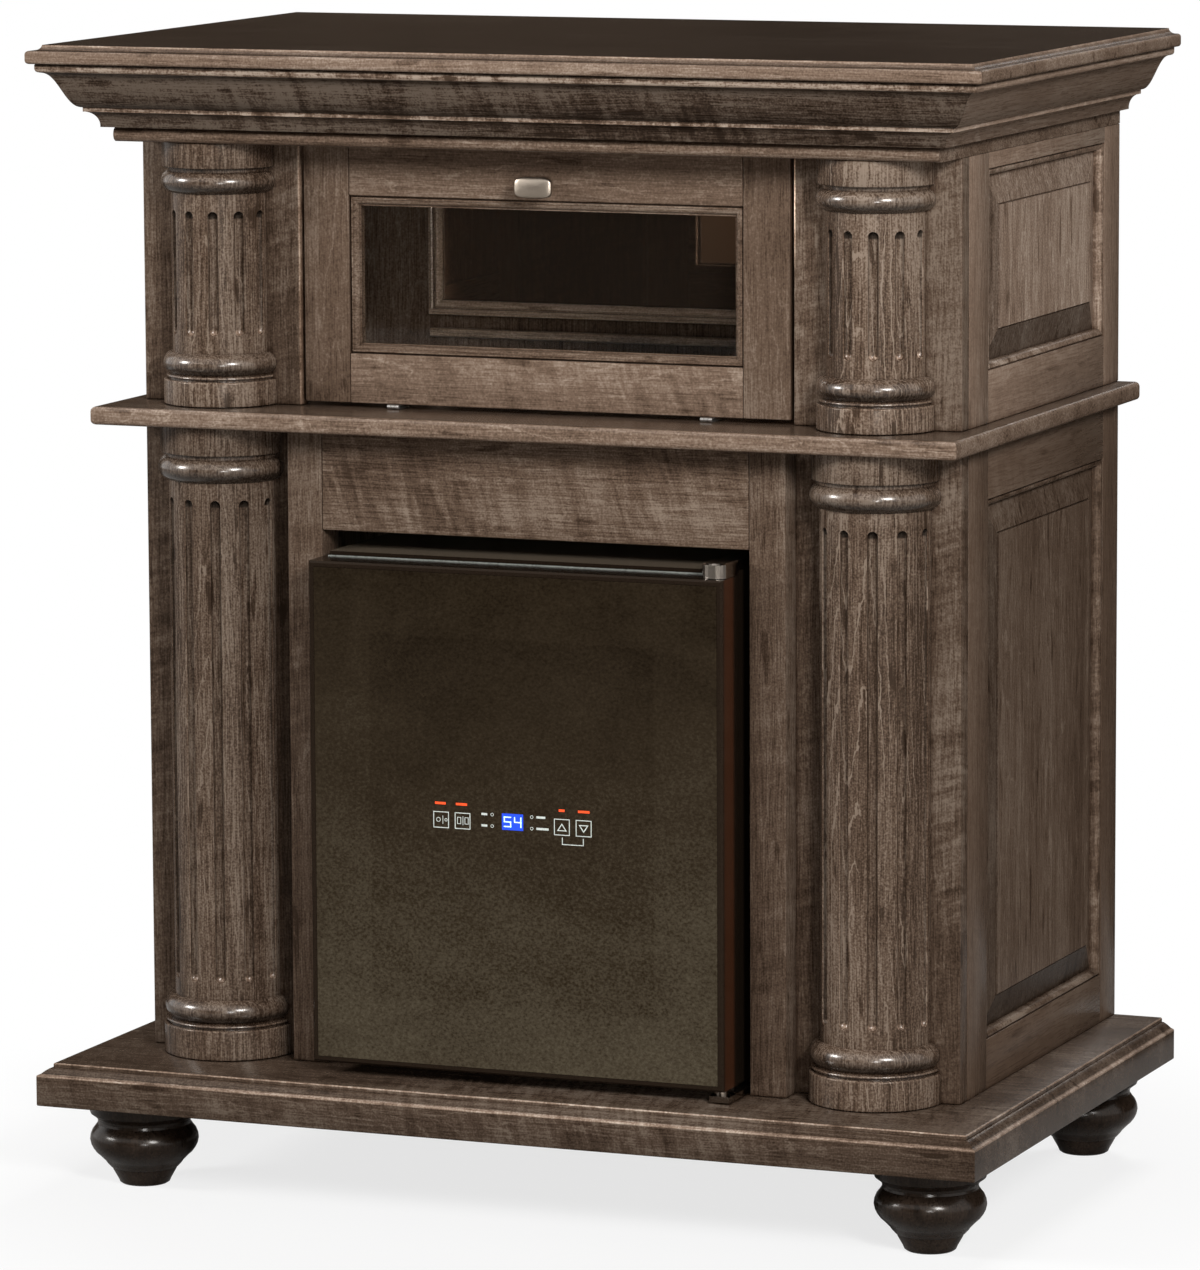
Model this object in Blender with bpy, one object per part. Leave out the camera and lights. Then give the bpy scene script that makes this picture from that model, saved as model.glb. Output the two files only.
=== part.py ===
"""Wine cabinet with a drop-front glazed cupboard above a built-in bottle cooler.

Metres, +Z up. The origin is on the floor, below the middle of the cabinet.
The front faces -Y, so +X is the right-hand side seen from the front.
"""

from math import acos, cos, pi, radians, sin

import bmesh
import bpy
from mathutils import Matrix, Vector

# Clearances
GAP = 0.0003             # between pieces that rest on or against each other
HINGE_PLAY = 0.0004      # pin in its bore

# Bottle cooler
COOLER_DOOR_W = 0.442
COOLER_DOOR_H = 0.508
COOLER_DOOR_T = 0.041
COOLER_DOOR_PROUD = 0.084   # front of the cooler door ahead of the pilasters
COOLER_DOOR_LIFT = 0.013    # above the base board
COOLER_BODY_INSET = 0.004   # cooler body behind the edge of its door, each side
COOLER_HEAD = 0.0045        # cooler body above the top of its door
COOLER_BODY_LIFT = 0.011
COOLER_BODY_D = 0.465
COOLER_SEAL = 0.003         # gap between the cooler door and body, which the gasket fills
COOLER_WALL = 0.036
COOLER_REAR_WALL = 0.080
COOLER_FOOT_R = 0.015
COOLER_FOOT_INSET = 0.040
LINER_T = 0.0025
LEDGE_W = 0.009
LEDGE_H = 0.005
RACK_COUNT = 3
RACK_RODS = 7
RACK_ROD_R = 0.0022
MIRROR_T = 0.0042
MIRROR_RIM = 0.0055
RIM_SLOPE = 0.002
WINDOW_SIDE = 0.068
WINDOW_END = 0.070
GASKET_INSET = 0.016
GASKET_W = 0.014
PIVOT_INSET = 0.010         # hinge pin from the edge of the cooler door
PIVOT_BACK = 0.021          # hinge pin behind the front of the cooler door
PIVOT_R = 0.0035
PIVOT_DEPTH = 0.018
HINGE_CAP_W = 0.026
HINGE_CAP_H = 0.0155        # above the cooler door
HINGE_CAP_NOSE = 0.010
HINGE_SHOE_W = 0.021
HINGE_SHOE_T = 0.006
HINGE_SHOE_LIFT = 0.0015
HINGE_SHOE_OUT = 0.0045     # shoe outside the edge of the cooler door
HINGE_SHOE_SET = 0.005      # shoe behind the front of the cooler door
HINGE_REACH = 0.045         # hinge pieces back over and under the cooler body
FAN_W = 0.120
FAN_T = 0.025
FAN_RIM = 0.004             # thinnest wall of the fan frame
FAN_HUB_R = 0.018
FAN_SPINDLE_R = 0.003
FAN_BLADES = 7
FAN_TIP = 0.0025            # blade tip to bore
FAN_UP = 0.255              # fan centre above the foot of the cooler body
SINK_D = 0.026
SINK_FINS = 15
SINK_FIN_T = 0.0028
SINK_BASE_T = 0.006

# Lower case
OPEN_CLEAR = 0.008          # face frame opening beside the cooler door
OPEN_TOP_CLEAR = 0.0195     # face frame opening above the cooler body
FACE_STILE_W = 0.038
FACE_RAIL_H = 0.102
FACE_RAIL_T = 0.021
FACE_PROUD = 0.031          # face frame ahead of the pilasters
PILASTER_W = 0.1735
PILASTER_T = 0.022
PILASTER_LAP = 0.0025       # face frame over the inner edge of the pilasters
PILASTER_SEAT = 0.030       # more lap behind the lower face frame
SIDE_T = 0.022
AIR_SPACE = 0.0575          # behind the cooler
BACK_T = 0.010
VENT_SIDE = 0.210
VENT_END = 0.120

# Upper case
UPPER_H = 0.266
DOOR_GAP = 0.004
DOOR_SET = 0.001            # door face behind the pilaster face
DOOR_T = 0.022
DOOR_LIFT = 0.0045
DOOR_TOP_GAP = 0.003
DOOR_STILE_W = 0.0495
DOOR_RAIL_W = 0.050
DOOR_BEAD_W = 0.010
DOOR_BEAD_SINK = 0.002
DOOR_BEAD_T = 0.0075
DOOR_GLASS_T = 0.004
DOOR_STOP_W = 0.008
DOOR_STOP_T = 0.0065
KNOB_L = 0.0405
KNOB_H = 0.0215
KNOB_T = 0.0065
KNOB_RIM = 0.0012           # border round the cushioned face
KNOB_OUT = 0.033            # knob face ahead of the door
KNOB_STEM_R = 0.006
KNOB_ROSE_R = 0.0095
KNOB_DROP = 0.035           # knob centre below the top of the door
LEAF_W = 0.0125
LEAF_D = 0.022
LEAF_T = 0.001
KNUCKLE_R = 0.0022
KNUCKLE_FWD = 0.004         # hinge pin ahead of the door face
KNUCKLE_UP = 0.0026         # hinge pin above the waist shelf
HINGE_PIN_R = 0.0009
HINGE_AT = 0.0925           # hinge centre from the edge of the door
HINGE_SHIFT = 0.006         # both hinges to the right
GLASS_BACK_SIDE = 0.086     # bare margins round the mirror frame on the back
GLASS_BACK_FOOT = 0.046
GLASS_BACK_HEAD = 0.014
GLASS_FRAME_W = 0.016
GLASS_FRAME_T = 0.013
GLASS_T = 0.004
STEM_RAILS = 5
STEM_PITCH = 0.100
STEM_PLATE_T = 0.009
STEM_WEB_W = 0.012
STEM_WEB_H = 0.017
STEM_FLANGE_W = 0.056
STEM_FLANGE_T = 0.009
STEM_SET = 0.070            # rails behind the door
STEM_END = 0.060            # rails ahead of the mirror frame

# Side panels
PANEL_FRONT = 0.0805        # opening from the pilaster face
PANEL_REAR = 0.0495         # opening from the back
LOWER_RAIL_FOOT = 0.051
LOWER_RAIL_HEAD = 0.056
UPPER_RAIL_FOOT = 0.052
UPPER_RAIL_HEAD = 0.016
PANEL_BEAD = 0.003
PANEL_BEVEL = 0.038
PANEL_STEP = 0.0014
PANEL_SINK = 0.002
PANEL_RISE = 0.006
TONGUE_T = 0.006
TONGUE_W = 0.008
TONGUE_PLAY = 0.0006

# Split columns: a plinth drum, a torus, a fluted shaft, a torus and a cap drum
LOW_SHAFT_R = 0.0563
LOW_TORUS_R = 0.0664
LOW_PLINTH_R = 0.0675
LOW_CAP_R = 0.0643
LOW_PLINTH_H = 0.031
LOW_TORUS_H = 0.0255
LOW_CAP_H = 0.030
UP_SHAFT_R = 0.0502
UP_TORUS_R = 0.0600
UP_PLINTH_R = 0.0595
UP_CAP_R = 0.0590
UP_PLINTH_H = 0.0257
UP_TORUS_H = 0.0233
UP_CAP_H = 0.0266
QUIRK_H = 0.0045
QUIRK_IN = 0.0050
COLUMN_STEPS = 18           # facets round a half column
FLUTES = 6
FLUTE_STEP = radians(30.5)
FLUTE_R = 0.0055
FLUTE_OUT = 0.0005          # flute centre outside the shaft
FLUTE_END = 0.017           # plain shaft between a torus and the flutes

# Boards and mouldings
SHELF_T = 0.019
SHELF_NOSE = 0.005
SHELF_SIDE = 0.023
SHELF_LIP = 0.0135
BAND_LIP = 0.0075
BAND_ROUND = 0.007
SOFFIT_T = 0.015
BASE_SIDE = 0.065
BASE_LIP = 0.075
BASE_FACE_H = 0.0325
BASE_BEVEL_W = 0.0105
BASE_BEVEL_H = 0.0065
BASE_QUIRK = 0.0012
BASE_FILLET_H = 0.0045
CROWN_BACK = 0.022
CROWN_FOOT = 0.0095
CROWN_FOOT_H = 0.0015
COVE_W = 0.013
COVE_H = 0.0148
CROWN_MID_H = 0.0042        # fillet between the cove and the ogee
OGEE_W = 0.0315
OGEE_H = 0.036
CROWN_HEAD_W = 0.004        # rounded lower corner of the head fillet
CROWN_HEAD_H = 0.0085
TOP_LIP = 0.007
TOP_EDGE_H = 0.0135
TOP_ROUND = 0.0035
TOP_STEP_W = 0.0055
TOP_COVE_W = 0.0075
TOP_COVE_H = 0.0055
EASE = 0.0015               # eased edges of flat boards

# Bun feet
FOOT_SIDE = 0.077
FOOT_FRONT = 0.0905
FOOT_REAR = 0.0645

# Turned outline of a bun foot: radius, height
FOOT_TURNING = (
    (0.0234, 0.0000), (0.0256, 0.0015), (0.0272, 0.0051), (0.0325, 0.0145), (0.0334, 0.0171),
    (0.0347, 0.0175), (0.0384, 0.0214), (0.0409, 0.0250), (0.0417, 0.0255), (0.0456, 0.0295),
    (0.0495, 0.0330), (0.0525, 0.0370), (0.0545, 0.0410), (0.0556, 0.0460), (0.0550, 0.0508),
    (0.0531, 0.0555), (0.0500, 0.0595), (0.0478, 0.0626), (0.0473, 0.0651), (0.0481, 0.0680),
    (0.0506, 0.0705), (0.0548, 0.0736), (0.0556, 0.0760), (0.0556, 0.0905),
)

# Where things come out, from the sizes above
COOLER_BODY_W = COOLER_DOOR_W - 2 * COOLER_BODY_INSET
COOLER_BODY_H = COOLER_DOOR_LIFT + COOLER_DOOR_H + COOLER_HEAD - COOLER_BODY_LIFT
FAN_BORE_R = FAN_W / 2 - FAN_RIM
OPEN_X = COOLER_DOOR_W / 2 + OPEN_CLEAR
FACE_X = OPEN_X + FACE_STILE_W
PIL_X = FACE_X - PILASTER_LAP
CASE_X = PIL_X + PILASTER_W
COLUMN_X = (PIL_X + CASE_X) / 2
DOOR_X = PIL_X - DOOR_GAP
BODY_PROUD = COOLER_DOOR_PROUD - COOLER_DOOR_T - COOLER_SEAL
BASE_FRONT = LOW_PLINTH_R + BASE_LIP
SHELF_FRONT = LOW_PLINTH_R + SHELF_LIP
BAND_FRONT = UP_PLINTH_R + BAND_LIP
CASE_D = COOLER_BODY_D - BODY_PROUD + AIR_SPACE + BACK_T
Y_BACK = (CASE_D + BASE_FRONT) / 2
Y_FACE = Y_BACK - CASE_D
BASE_T = BASE_FACE_H + BASE_BEVEL_H + BASE_FILLET_H
CROWN_H = CROWN_FOOT_H + COVE_H + CROWN_MID_H + OGEE_H + CROWN_HEAD_H
CROWN_OUT = CROWN_FOOT + COVE_W + OGEE_W + CROWN_HEAD_W
TOP_T = TOP_EDGE_H + TOP_COVE_H
LOWER_H = COOLER_BODY_LIFT + COOLER_BODY_H + OPEN_TOP_CLEAR + FACE_RAIL_H
FOOT_H = FOOT_TURNING[-1][1]
Z_BASE = FOOT_H
Z_LOWER = Z_BASE + BASE_T
Z_SHELF = Z_LOWER + LOWER_H
Z_UPPER = Z_SHELF + SHELF_T
Z_SOFFIT = Z_UPPER + UPPER_H
Z_CROWN = Z_SOFFIT + SOFFIT_T
Z_TOP = Z_CROWN + CROWN_H

WOOD = ((0.115, 0.088, 0.068), 0.42, 0.0)
DARK_WOOD = ((0.045, 0.033, 0.026), 0.35, 0.0)
BLACK = ((0.018, 0.018, 0.018), 0.45, 0.0)
GREY = ((0.32, 0.33, 0.33), 0.50, 0.0)
SILVER = ((0.60, 0.60, 0.58), 0.25, 1.0)
PEWTER = ((0.50, 0.46, 0.38), 0.32, 1.0)
GUNMETAL = ((0.16, 0.15, 0.14), 0.40, 1.0)
GLASS = ((0.75, 0.80, 0.78), 0.03, 0.0)
DARK_MIRROR = ((0.050, 0.043, 0.034), 0.05, 0.6)

for old in list(bpy.data.objects):
    bpy.data.objects.remove(old, do_unlink=True)


def finish(name, mesh, look, at=(0, 0, 0), parent=None):
    """An object of this mesh with its own material, placed at a point or under a pivot."""
    colour, rough, metal = look
    material = bpy.data.materials.new(name)
    material.use_nodes = True
    shader = material.node_tree.nodes["Principled BSDF"]
    shader.inputs["Base Color"].default_value = (*colour, 1)
    shader.inputs["Roughness"].default_value = rough
    shader.inputs["Metallic"].default_value = metal
    obj = bpy.data.objects.new(name, mesh)
    bpy.context.scene.collection.objects.link(obj)
    if not mesh.materials:
        mesh.materials.append(None)
    obj.material_slots[0].link = "OBJECT"
    obj.material_slots[0].material = material
    obj.location = at
    if parent:
        obj.parent = parent
        obj.location = (0, 0, 0)
        mesh.transform(Matrix.Translation(Vector(at) - parent.location))
    return obj


def pivot(name, at):
    """An empty on a joint's axis, which carries the pieces that turn about it."""
    empty = bpy.data.objects.new(name, None)
    empty.location = at
    bpy.context.scene.collection.objects.link(empty)
    return empty


def mesh_of(bm, name, smooth=False):
    bmesh.ops.recalc_face_normals(bm, faces=bm.faces)
    mesh = bpy.data.meshes.new(name)
    bm.to_mesh(mesh)
    bm.free()
    if smooth:
        mesh.shade_smooth()
        mesh.set_sharp_from_angle(angle=radians(32))
    return mesh


def loft(name, loops, ring=False, smooth=False):
    """Skin through loops of equally many points: capped at both ends, or closed into a ring."""
    bm = bmesh.new()
    rows = [[bm.verts.new(p) for p in loop] for loop in loops]
    pairs = list(zip(rows, rows[1:]))
    if ring:
        pairs.append((rows[-1], rows[0]))
    for a, b in pairs:
        for i in range(len(a)):
            j = (i + 1) % len(a)
            bm.faces.new((a[i], a[j], b[j], b[i]))
    if not ring:
        bm.faces.new(rows[0])
        bm.faces.new(rows[-1])
    return mesh_of(bm, name, smooth)


def rect(axis, at, u0, u1, v0, v1):
    """Corners of a rectangle across an axis: u, v run along the two other axes in order."""
    corners = ((u0, v0), (u1, v0), (u1, v1), (u0, v1))
    if axis == "X":
        return [(at, u, v) for u, v in corners]
    if axis == "Y":
        return [(u, at, v) for u, v in corners]
    return [(u, v, at) for u, v in corners]


def inset(box, by):
    u0, u1, v0, v1 = box
    return (u0 + by, u1 - by, v0 + by, v1 - by)


def block(name, x0, x1, y0, y1, z0, z1):
    return loft(name, [rect("Z", z0, x0, x1, y0, y1), rect("Z", z1, x0, x1, y0, y1)])


def ease(obj, width=EASE):
    bevel = obj.modifiers.new("eased edges", "BEVEL")
    bevel.width = width
    bevel.segments = 1
    bevel.limit_method = "ANGLE"
    return obj


def arc(u, v, ru, rv, start, end, steps):
    """Points along an ellipse between two angles in degrees."""
    turn = [radians(start + (end - start) * i / steps) for i in range(steps + 1)]
    return [(u + ru * cos(a), v + rv * sin(a)) for a in turn]


def revolve(name, outline, steps, axis="Z"):
    """A full turned solid from (radius, height) points that start and end on the axis."""
    bm = bmesh.new()
    verts = [bm.verts.new((r, 0, h)) for r, h in outline]
    edges = [bm.edges.new(pair) for pair in zip(verts, verts[1:])]
    bmesh.ops.spin(bm, geom=verts + edges, cent=(0, 0, 0), axis=(0, 0, 1), angle=2 * pi, steps=steps)
    bmesh.ops.remove_doubles(bm, verts=bm.verts, dist=1e-6)
    if axis == "X":
        bmesh.ops.rotate(bm, verts=bm.verts, matrix=Matrix.Rotation(pi / 2, 3, "Y"))
    if axis == "Y":
        bmesh.ops.rotate(bm, verts=bm.verts, matrix=Matrix.Rotation(-pi / 2, 3, "X"))
    return mesh_of(bm, name, True)


def rod(name, radius, start, length, axis, sides=16):
    """A plain cylinder from a point along an axis."""
    mesh = revolve(name, [(0, 0), (radius, 0), (radius, length), (0, length)], sides, axis)
    mesh.transform(Matrix.Translation(Vector(start)))
    return mesh


def helper(name, meshes):
    """One hidden object that holds several meshes, to cut or to add with a Boolean."""
    bm = bmesh.new()
    for mesh in meshes:
        bm.from_mesh(mesh)
    joined = mesh_of(bm, name)
    obj = bpy.data.objects.new(name, joined)
    bpy.context.scene.collection.objects.link(obj)
    obj.hide_render = True
    obj.display_type = "WIRE"
    return obj


def boolean(obj, operation, meshes):
    """Cut meshes from an object, or join them to it. Meshes of one call don't touch each other."""
    other = helper(f"{obj.name} {operation.lower()} {len(obj.modifiers)}", meshes)
    if obj.parent:
        other.parent = obj.parent
        other.data.transform(Matrix.Translation(-obj.parent.location))
    else:
        other.location = obj.location
    modifier = obj.modifiers.new(operation.lower(), "BOOLEAN")
    modifier.operation = operation
    modifier.solver = "EXACT"
    modifier.object = other
    return obj


def moulded_board(name, side, front, z0, edge, look):
    """A board whose front and side edges follow (inset, height) points; its back edge is plain."""
    loops = [rect("Z", z0 + h, -side + i, side - i, front + i, Y_BACK) for i, h in edge]
    return finish(name, loft(name, loops), look)


# Feet, base board, waist shelf and top board
foot_edge = [(0, 0), *FOOT_TURNING, (0, FOOT_H)]
base_x = CASE_X + BASE_SIDE
foot_mesh = revolve("bun foot", foot_edge, 22)
foot_x = base_x - FOOT_SIDE
foot_y = (Y_FACE - BASE_FRONT + FOOT_FRONT, Y_BACK - FOOT_REAR)
for row, y in zip(("front", "back"), foot_y):
    finish(f"foot_{row}_left", foot_mesh, DARK_WOOD, (-foot_x, y, 0))
    finish(f"foot_{row}_right", foot_mesh, DARK_WOOD, (foot_x, y, 0))

bevel_top = BASE_FACE_H + BASE_BEVEL_H
bevel_in = EASE + BASE_BEVEL_W
base_edge = [(EASE, GAP), (0, EASE + GAP), (0, BASE_FACE_H - EASE), (EASE, BASE_FACE_H)]
base_edge += [((EASE + bevel_in) / 2, BASE_FACE_H + BASE_BEVEL_H * 0.58), (bevel_in, bevel_top)]
base_edge += [(bevel_in + BASE_QUIRK, bevel_top), (bevel_in + BASE_QUIRK, BASE_T - EASE)]
base_edge += [(bevel_in + BASE_QUIRK + EASE, BASE_T)]
moulded_board("base_board", base_x, Y_FACE - BASE_FRONT, Z_BASE, base_edge, DARK_WOOD)



def nosed(radius, z0, z1):
    """(inset, height) points of an edge with both corners rounded."""
    corner = [(radius * (1 - sin(a)), radius * (1 - cos(a))) for a in (0, pi / 6, pi / 3, pi / 2)]
    return [(i, z0 + h) for i, h in corner] + [(i, z1 - h) for i, h in reversed(corner)]


shelf_edge = nosed(SHELF_NOSE, GAP, SHELF_T)
moulded_board("waist_shelf", CASE_X + SHELF_SIDE, Y_FACE - SHELF_FRONT, Z_SHELF, shelf_edge, WOOD)

top_edge = nosed(TOP_ROUND, GAP, TOP_EDGE_H) + [(TOP_STEP_W, TOP_EDGE_H)]
top_edge += [(TOP_STEP_W + TOP_COVE_W * sin(a), TOP_EDGE_H + TOP_COVE_H * (1 - cos(a)))
             for a in (radians(d) for d in range(18, 91, 18))]
top_x = CASE_X + CROWN_OUT + TOP_LIP
top_front = Y_FACE - BAND_FRONT - CROWN_OUT - TOP_LIP
moulded_board("top_board", top_x, top_front, Z_TOP, top_edge, DARK_WOOD)

# Soffit board with a round nose in front, notched behind for the upper back
rear_in = Y_BACK - BACK_T
upper_x = CASE_X - max(SIDE_T, CROWN_BACK) - GAP
notch = upper_x + GAP
loops = []
for i, z in nosed(BAND_ROUND, Z_SOFFIT + GAP, Z_CROWN):
    half = [(CASE_X, Y_FACE - BAND_FRONT + i), (CASE_X, Y_BACK), (notch, Y_BACK), (notch, rear_in - GAP)]
    loops.append([(x, y, z) for x, y in half] + [(-x, y, z) for x, y in reversed(half)])
finish("soffit_board", loft("soffit", loops), WOOD)

# Crown moulding in three mitred lengths: (out from the case, up) points
crown_edge = [(-CROWN_BACK, GAP), (CROWN_FOOT, GAP)]
cove_at = (CROWN_FOOT + COVE_W, CROWN_FOOT_H)
crown_edge += arc(*cove_at, -COVE_W, COVE_H, 0, 90, 4)
ogee_at = (cove_at[0], CROWN_FOOT_H + COVE_H + CROWN_MID_H)
for i in range(9):
    t = i / 8
    swing = t ** 3 * (6 * t * t - 15 * t + 10)
    crown_edge.append((ogee_at[0] + OGEE_W * t, ogee_at[1] + OGEE_H * (0.12 * t + 0.88 * swing)))
head_at = (ogee_at[0] + OGEE_W, ogee_at[1] + OGEE_H)
crown_edge += arc(head_at[0], head_at[1] + CROWN_HEAD_W, CROWN_HEAD_W, CROWN_HEAD_W, -60, 0, 2)
crown_edge += [(CROWN_OUT, CROWN_H), (-CROWN_BACK, CROWN_H)]
crown_front = Y_FACE - BAND_FRONT


def crown_length(name, ends):
    """One length of the crown between two functions that place a profile point."""
    loops = [[(*end(out), Z_CROWN + up) for out, up in crown_edge] for end in ends]
    return finish(name, loft(name, loops), WOOD)


mitre = GAP
crown_length("crown_front", (
    lambda out: (-CASE_X - out + mitre, crown_front - out),
    lambda out: (CASE_X + out - mitre, crown_front - out)))
crown_length("crown_left", (
    lambda out: (-CASE_X - out, crown_front - out + mitre),
    lambda out: (-CASE_X - out, Y_BACK)))
crown_length("crown_right", (
    lambda out: (CASE_X + out, crown_front - out + mitre),
    lambda out: (CASE_X + out, Y_BACK)))


# Split columns
def column_mesh(name, height, shaft, torus, plinth, cap, plinth_h, torus_h, cap_h):
    """A half-round column, flat at the back, with round-ended flutes cut into its shaft."""
    bulge = torus_h / 2
    turn = round(90 * acos((shaft - torus + bulge) / bulge) / (pi / 2), 3)
    foot_torus = plinth_h + QUIRK_H + bulge
    head_torus = height - cap_h - QUIRK_H / 2 - bulge
    edge = [(plinth, 0), (plinth, plinth_h - EASE), (plinth - EASE, plinth_h)]
    edge += [(plinth - QUIRK_IN, plinth_h), (plinth - QUIRK_IN, plinth_h + QUIRK_H / 3)]
    edge += [(plinth - QUIRK_IN / 2, plinth_h + QUIRK_H / 3), (plinth - QUIRK_IN / 2, plinth_h + QUIRK_H)]
    edge += arc(torus - bulge, foot_torus, bulge, bulge, -64, turn, 6)
    edge += arc(torus - bulge, head_torus, bulge, bulge, -turn, 64, 6)
    edge += [(cap - QUIRK_IN, height - cap_h), (cap, height - cap_h), (cap, height)]
    bm = bmesh.new()
    turns = [pi * i / COLUMN_STEPS for i in range(COLUMN_STEPS + 1)]
    rows = [[bm.verts.new((r * cos(a), -GAP - r * sin(a), z)) for r, z in edge] for a in turns]
    for one, two in zip(rows, rows[1:]):
        for i in range(len(edge) - 1):
            bm.faces.new((one[i], two[i], two[i + 1], one[i + 1]))
    bm.faces.new([row[0] for row in rows])
    bm.faces.new([row[-1] for row in rows])
    bm.faces.new(rows[0] + rows[-1][::-1])
    mesh = mesh_of(bm, name, True)
    low = foot_torus + bulge + FLUTE_END
    high = head_torus - bulge - FLUTE_END
    return mesh, low, high


def flute_cutters(shaft, low, high):
    """Round-ended cutters, one for each flute, around the front half of the shaft."""
    edge = [(0, low)]
    edge += [(FLUTE_R * sin(a), low + FLUTE_R * (1 - cos(a))) for a in (pi / 6, pi / 3, pi / 2)]
    edge += [(FLUTE_R * cos(a), high - FLUTE_R * (1 - sin(a))) for a in (0, pi / 6, pi / 3)]
    edge += [(0, high)]
    cutters = []
    for i in range(FLUTES):
        turn = (i - (FLUTES - 1) / 2) * FLUTE_STEP
        cutter = revolve("flute", edge, 10)
        reach = shaft + FLUTE_OUT
        cutter.transform(Matrix.Translation((reach * sin(turn), -GAP - reach * cos(turn), 0)))
        cutters.append(cutter)
    return cutters


COLUMNS = (
    ("lower", Z_LOWER, Z_SHELF, LOW_SHAFT_R, LOW_TORUS_R, LOW_PLINTH_R, LOW_CAP_R,
     LOW_PLINTH_H, LOW_TORUS_H, LOW_CAP_H),
    ("upper", Z_UPPER, Z_SOFFIT, UP_SHAFT_R, UP_TORUS_R, UP_PLINTH_R, UP_CAP_R,
     UP_PLINTH_H, UP_TORUS_H, UP_CAP_H),
)
for level, z0, z1, shaft_r, *rest in COLUMNS:
    for hand, sign in (("left", -1), ("right", 1)):
        mesh, low, high = column_mesh(f"column {level} {hand}", z1 - z0 - GAP, shaft_r, *rest)
        post = finish(f"column_{level}_{hand}", mesh, WOOD, (sign * COLUMN_X, Y_FACE, z0 + GAP))
        boolean(post, "DIFFERENCE", flute_cutters(shaft_r, low, high))

# Pilasters behind the columns, and the face frame round the cooler
for hand, sign in (("left", -1), ("right", 1)):
    for level, z0, z1, inner in (("lower", Z_LOWER, Z_SHELF, PIL_X - PILASTER_SEAT),
                                 ("upper", Z_UPPER, Z_SOFFIT, PIL_X)):
        x0, x1 = sorted((sign * inner, sign * CASE_X))
        mesh = block(f"pilaster {level}", x0, x1, Y_FACE, Y_FACE + PILASTER_T, z0 + GAP, z1)
        ease(finish(f"pilaster_{level}_{hand}", mesh, WOOD))
    x0, x1 = sorted((sign * OPEN_X, sign * FACE_X))
    mesh = block("face stile", x0, x1, Y_FACE - FACE_PROUD, Y_FACE - GAP, Z_LOWER + GAP, Z_SHELF)
    ease(finish(f"face_stile_{hand}", mesh, WOOD))
rail_y = Y_FACE - FACE_PROUD
rail = block("face rail", -OPEN_X + GAP, OPEN_X - GAP, rail_y, rail_y + FACE_RAIL_T,
             Z_SHELF - FACE_RAIL_H, Z_SHELF)
ease(finish("face_rail", rail, WOOD))

# Side frames with raised panels floating in their grooves
SIDES = (
    ("lower", Z_LOWER + GAP, Z_SHELF, LOWER_RAIL_FOOT, LOWER_RAIL_HEAD),
    ("upper", Z_UPPER + GAP, Z_SOFFIT, UPPER_RAIL_FOOT, UPPER_RAIL_HEAD),
)
for hand, sign in (("left", -1), ("right", 1)):
    for level, z0, z1, foot, head in SIDES:
        outer = (Y_FACE + PILASTER_T + GAP, Y_BACK, z0, z1)
        hole = (Y_FACE + PANEL_FRONT, Y_BACK - PANEL_REAR, z0 + foot, z1 - head)
        skin = CASE_X
        bevel_foot = skin - PANEL_SINK - PANEL_RISE
        tongue = (bevel_foot - TONGUE_T, bevel_foot)
        groove = (tongue[0] - TONGUE_PLAY / 2, tongue[1] + TONGUE_PLAY / 2)
        frame = [(skin - SIDE_T, outer), (skin, outer), (skin, inset(hole, -PANEL_BEAD))]
        frame += [(skin - PANEL_BEAD, hole), (groove[1], hole), (groove[1], inset(hole, -TONGUE_W))]
        frame += [(groove[0], inset(hole, -TONGUE_W)), (groove[0], hole), (skin - SIDE_T, hole)]
        loops = [rect("X", sign * x, *box) for x, box in frame]
        finish(f"side_frame_{level}_{hand}", loft("side frame", loops, ring=True), WOOD)
        in_groove = inset(hole, -TONGUE_W + TONGUE_PLAY)
        field = inset(hole, PANEL_BEVEL)
        panel = [(tongue[0], in_groove), (tongue[1], in_groove), (tongue[1], inset(hole, PANEL_STEP))]
        panel += [(skin - PANEL_SINK - PANEL_STEP, field), (skin - PANEL_SINK, field)]
        loops = [rect("X", sign * x, *box) for x, box in panel]
        finish(f"side_panel_{level}_{hand}", loft("side panel", loops), WOOD)

# Backs: the lower one is open behind the cooler, the upper one carries a framed mirror
back_x = CASE_X - SIDE_T - GAP
plate = (-back_x, back_x, Z_LOWER + GAP, Z_SHELF)
vent = (-back_x + VENT_SIDE, back_x - VENT_SIDE, Z_LOWER + VENT_END, Z_SHELF - VENT_END)
ring = [(rear_in, plate), (Y_BACK, plate), (Y_BACK, vent), (rear_in, vent)]
finish("back_lower", loft("back", [rect("Y", y, *b) for y, b in ring], ring=True), DARK_WOOD)
back = block("back", -upper_x, upper_x, rear_in, Y_BACK, Z_UPPER + GAP, Z_TOP)
finish("back_upper", back, DARK_WOOD)
frame_out = (-back_x + GLASS_BACK_SIDE, back_x - GLASS_BACK_SIDE,
             Z_UPPER + GLASS_BACK_FOOT, Z_SOFFIT - GLASS_BACK_HEAD)
frame_in = inset(frame_out, GLASS_FRAME_W)
wall = rear_in - GAP
ring = [(wall, frame_out), (wall - GLASS_FRAME_T / 2, frame_out)]
ring += [(wall - GLASS_FRAME_T, inset(frame_out, GLASS_FRAME_W / 4))]
ring += [(wall - GLASS_FRAME_T, inset(frame_out, GLASS_FRAME_W * 3 / 4))]
ring += [(wall - GLASS_FRAME_T / 2, frame_in), (wall, frame_in)]
loops = [rect("Y", y, *b) for y, b in ring]
finish("back_mirror_frame", loft("mirror frame", loops, ring=True), WOOD)
pane = inset(frame_in, GAP)
mesh = loft("mirror", [rect("Y", y, *pane) for y in (wall - GLASS_T, wall)])
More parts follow.
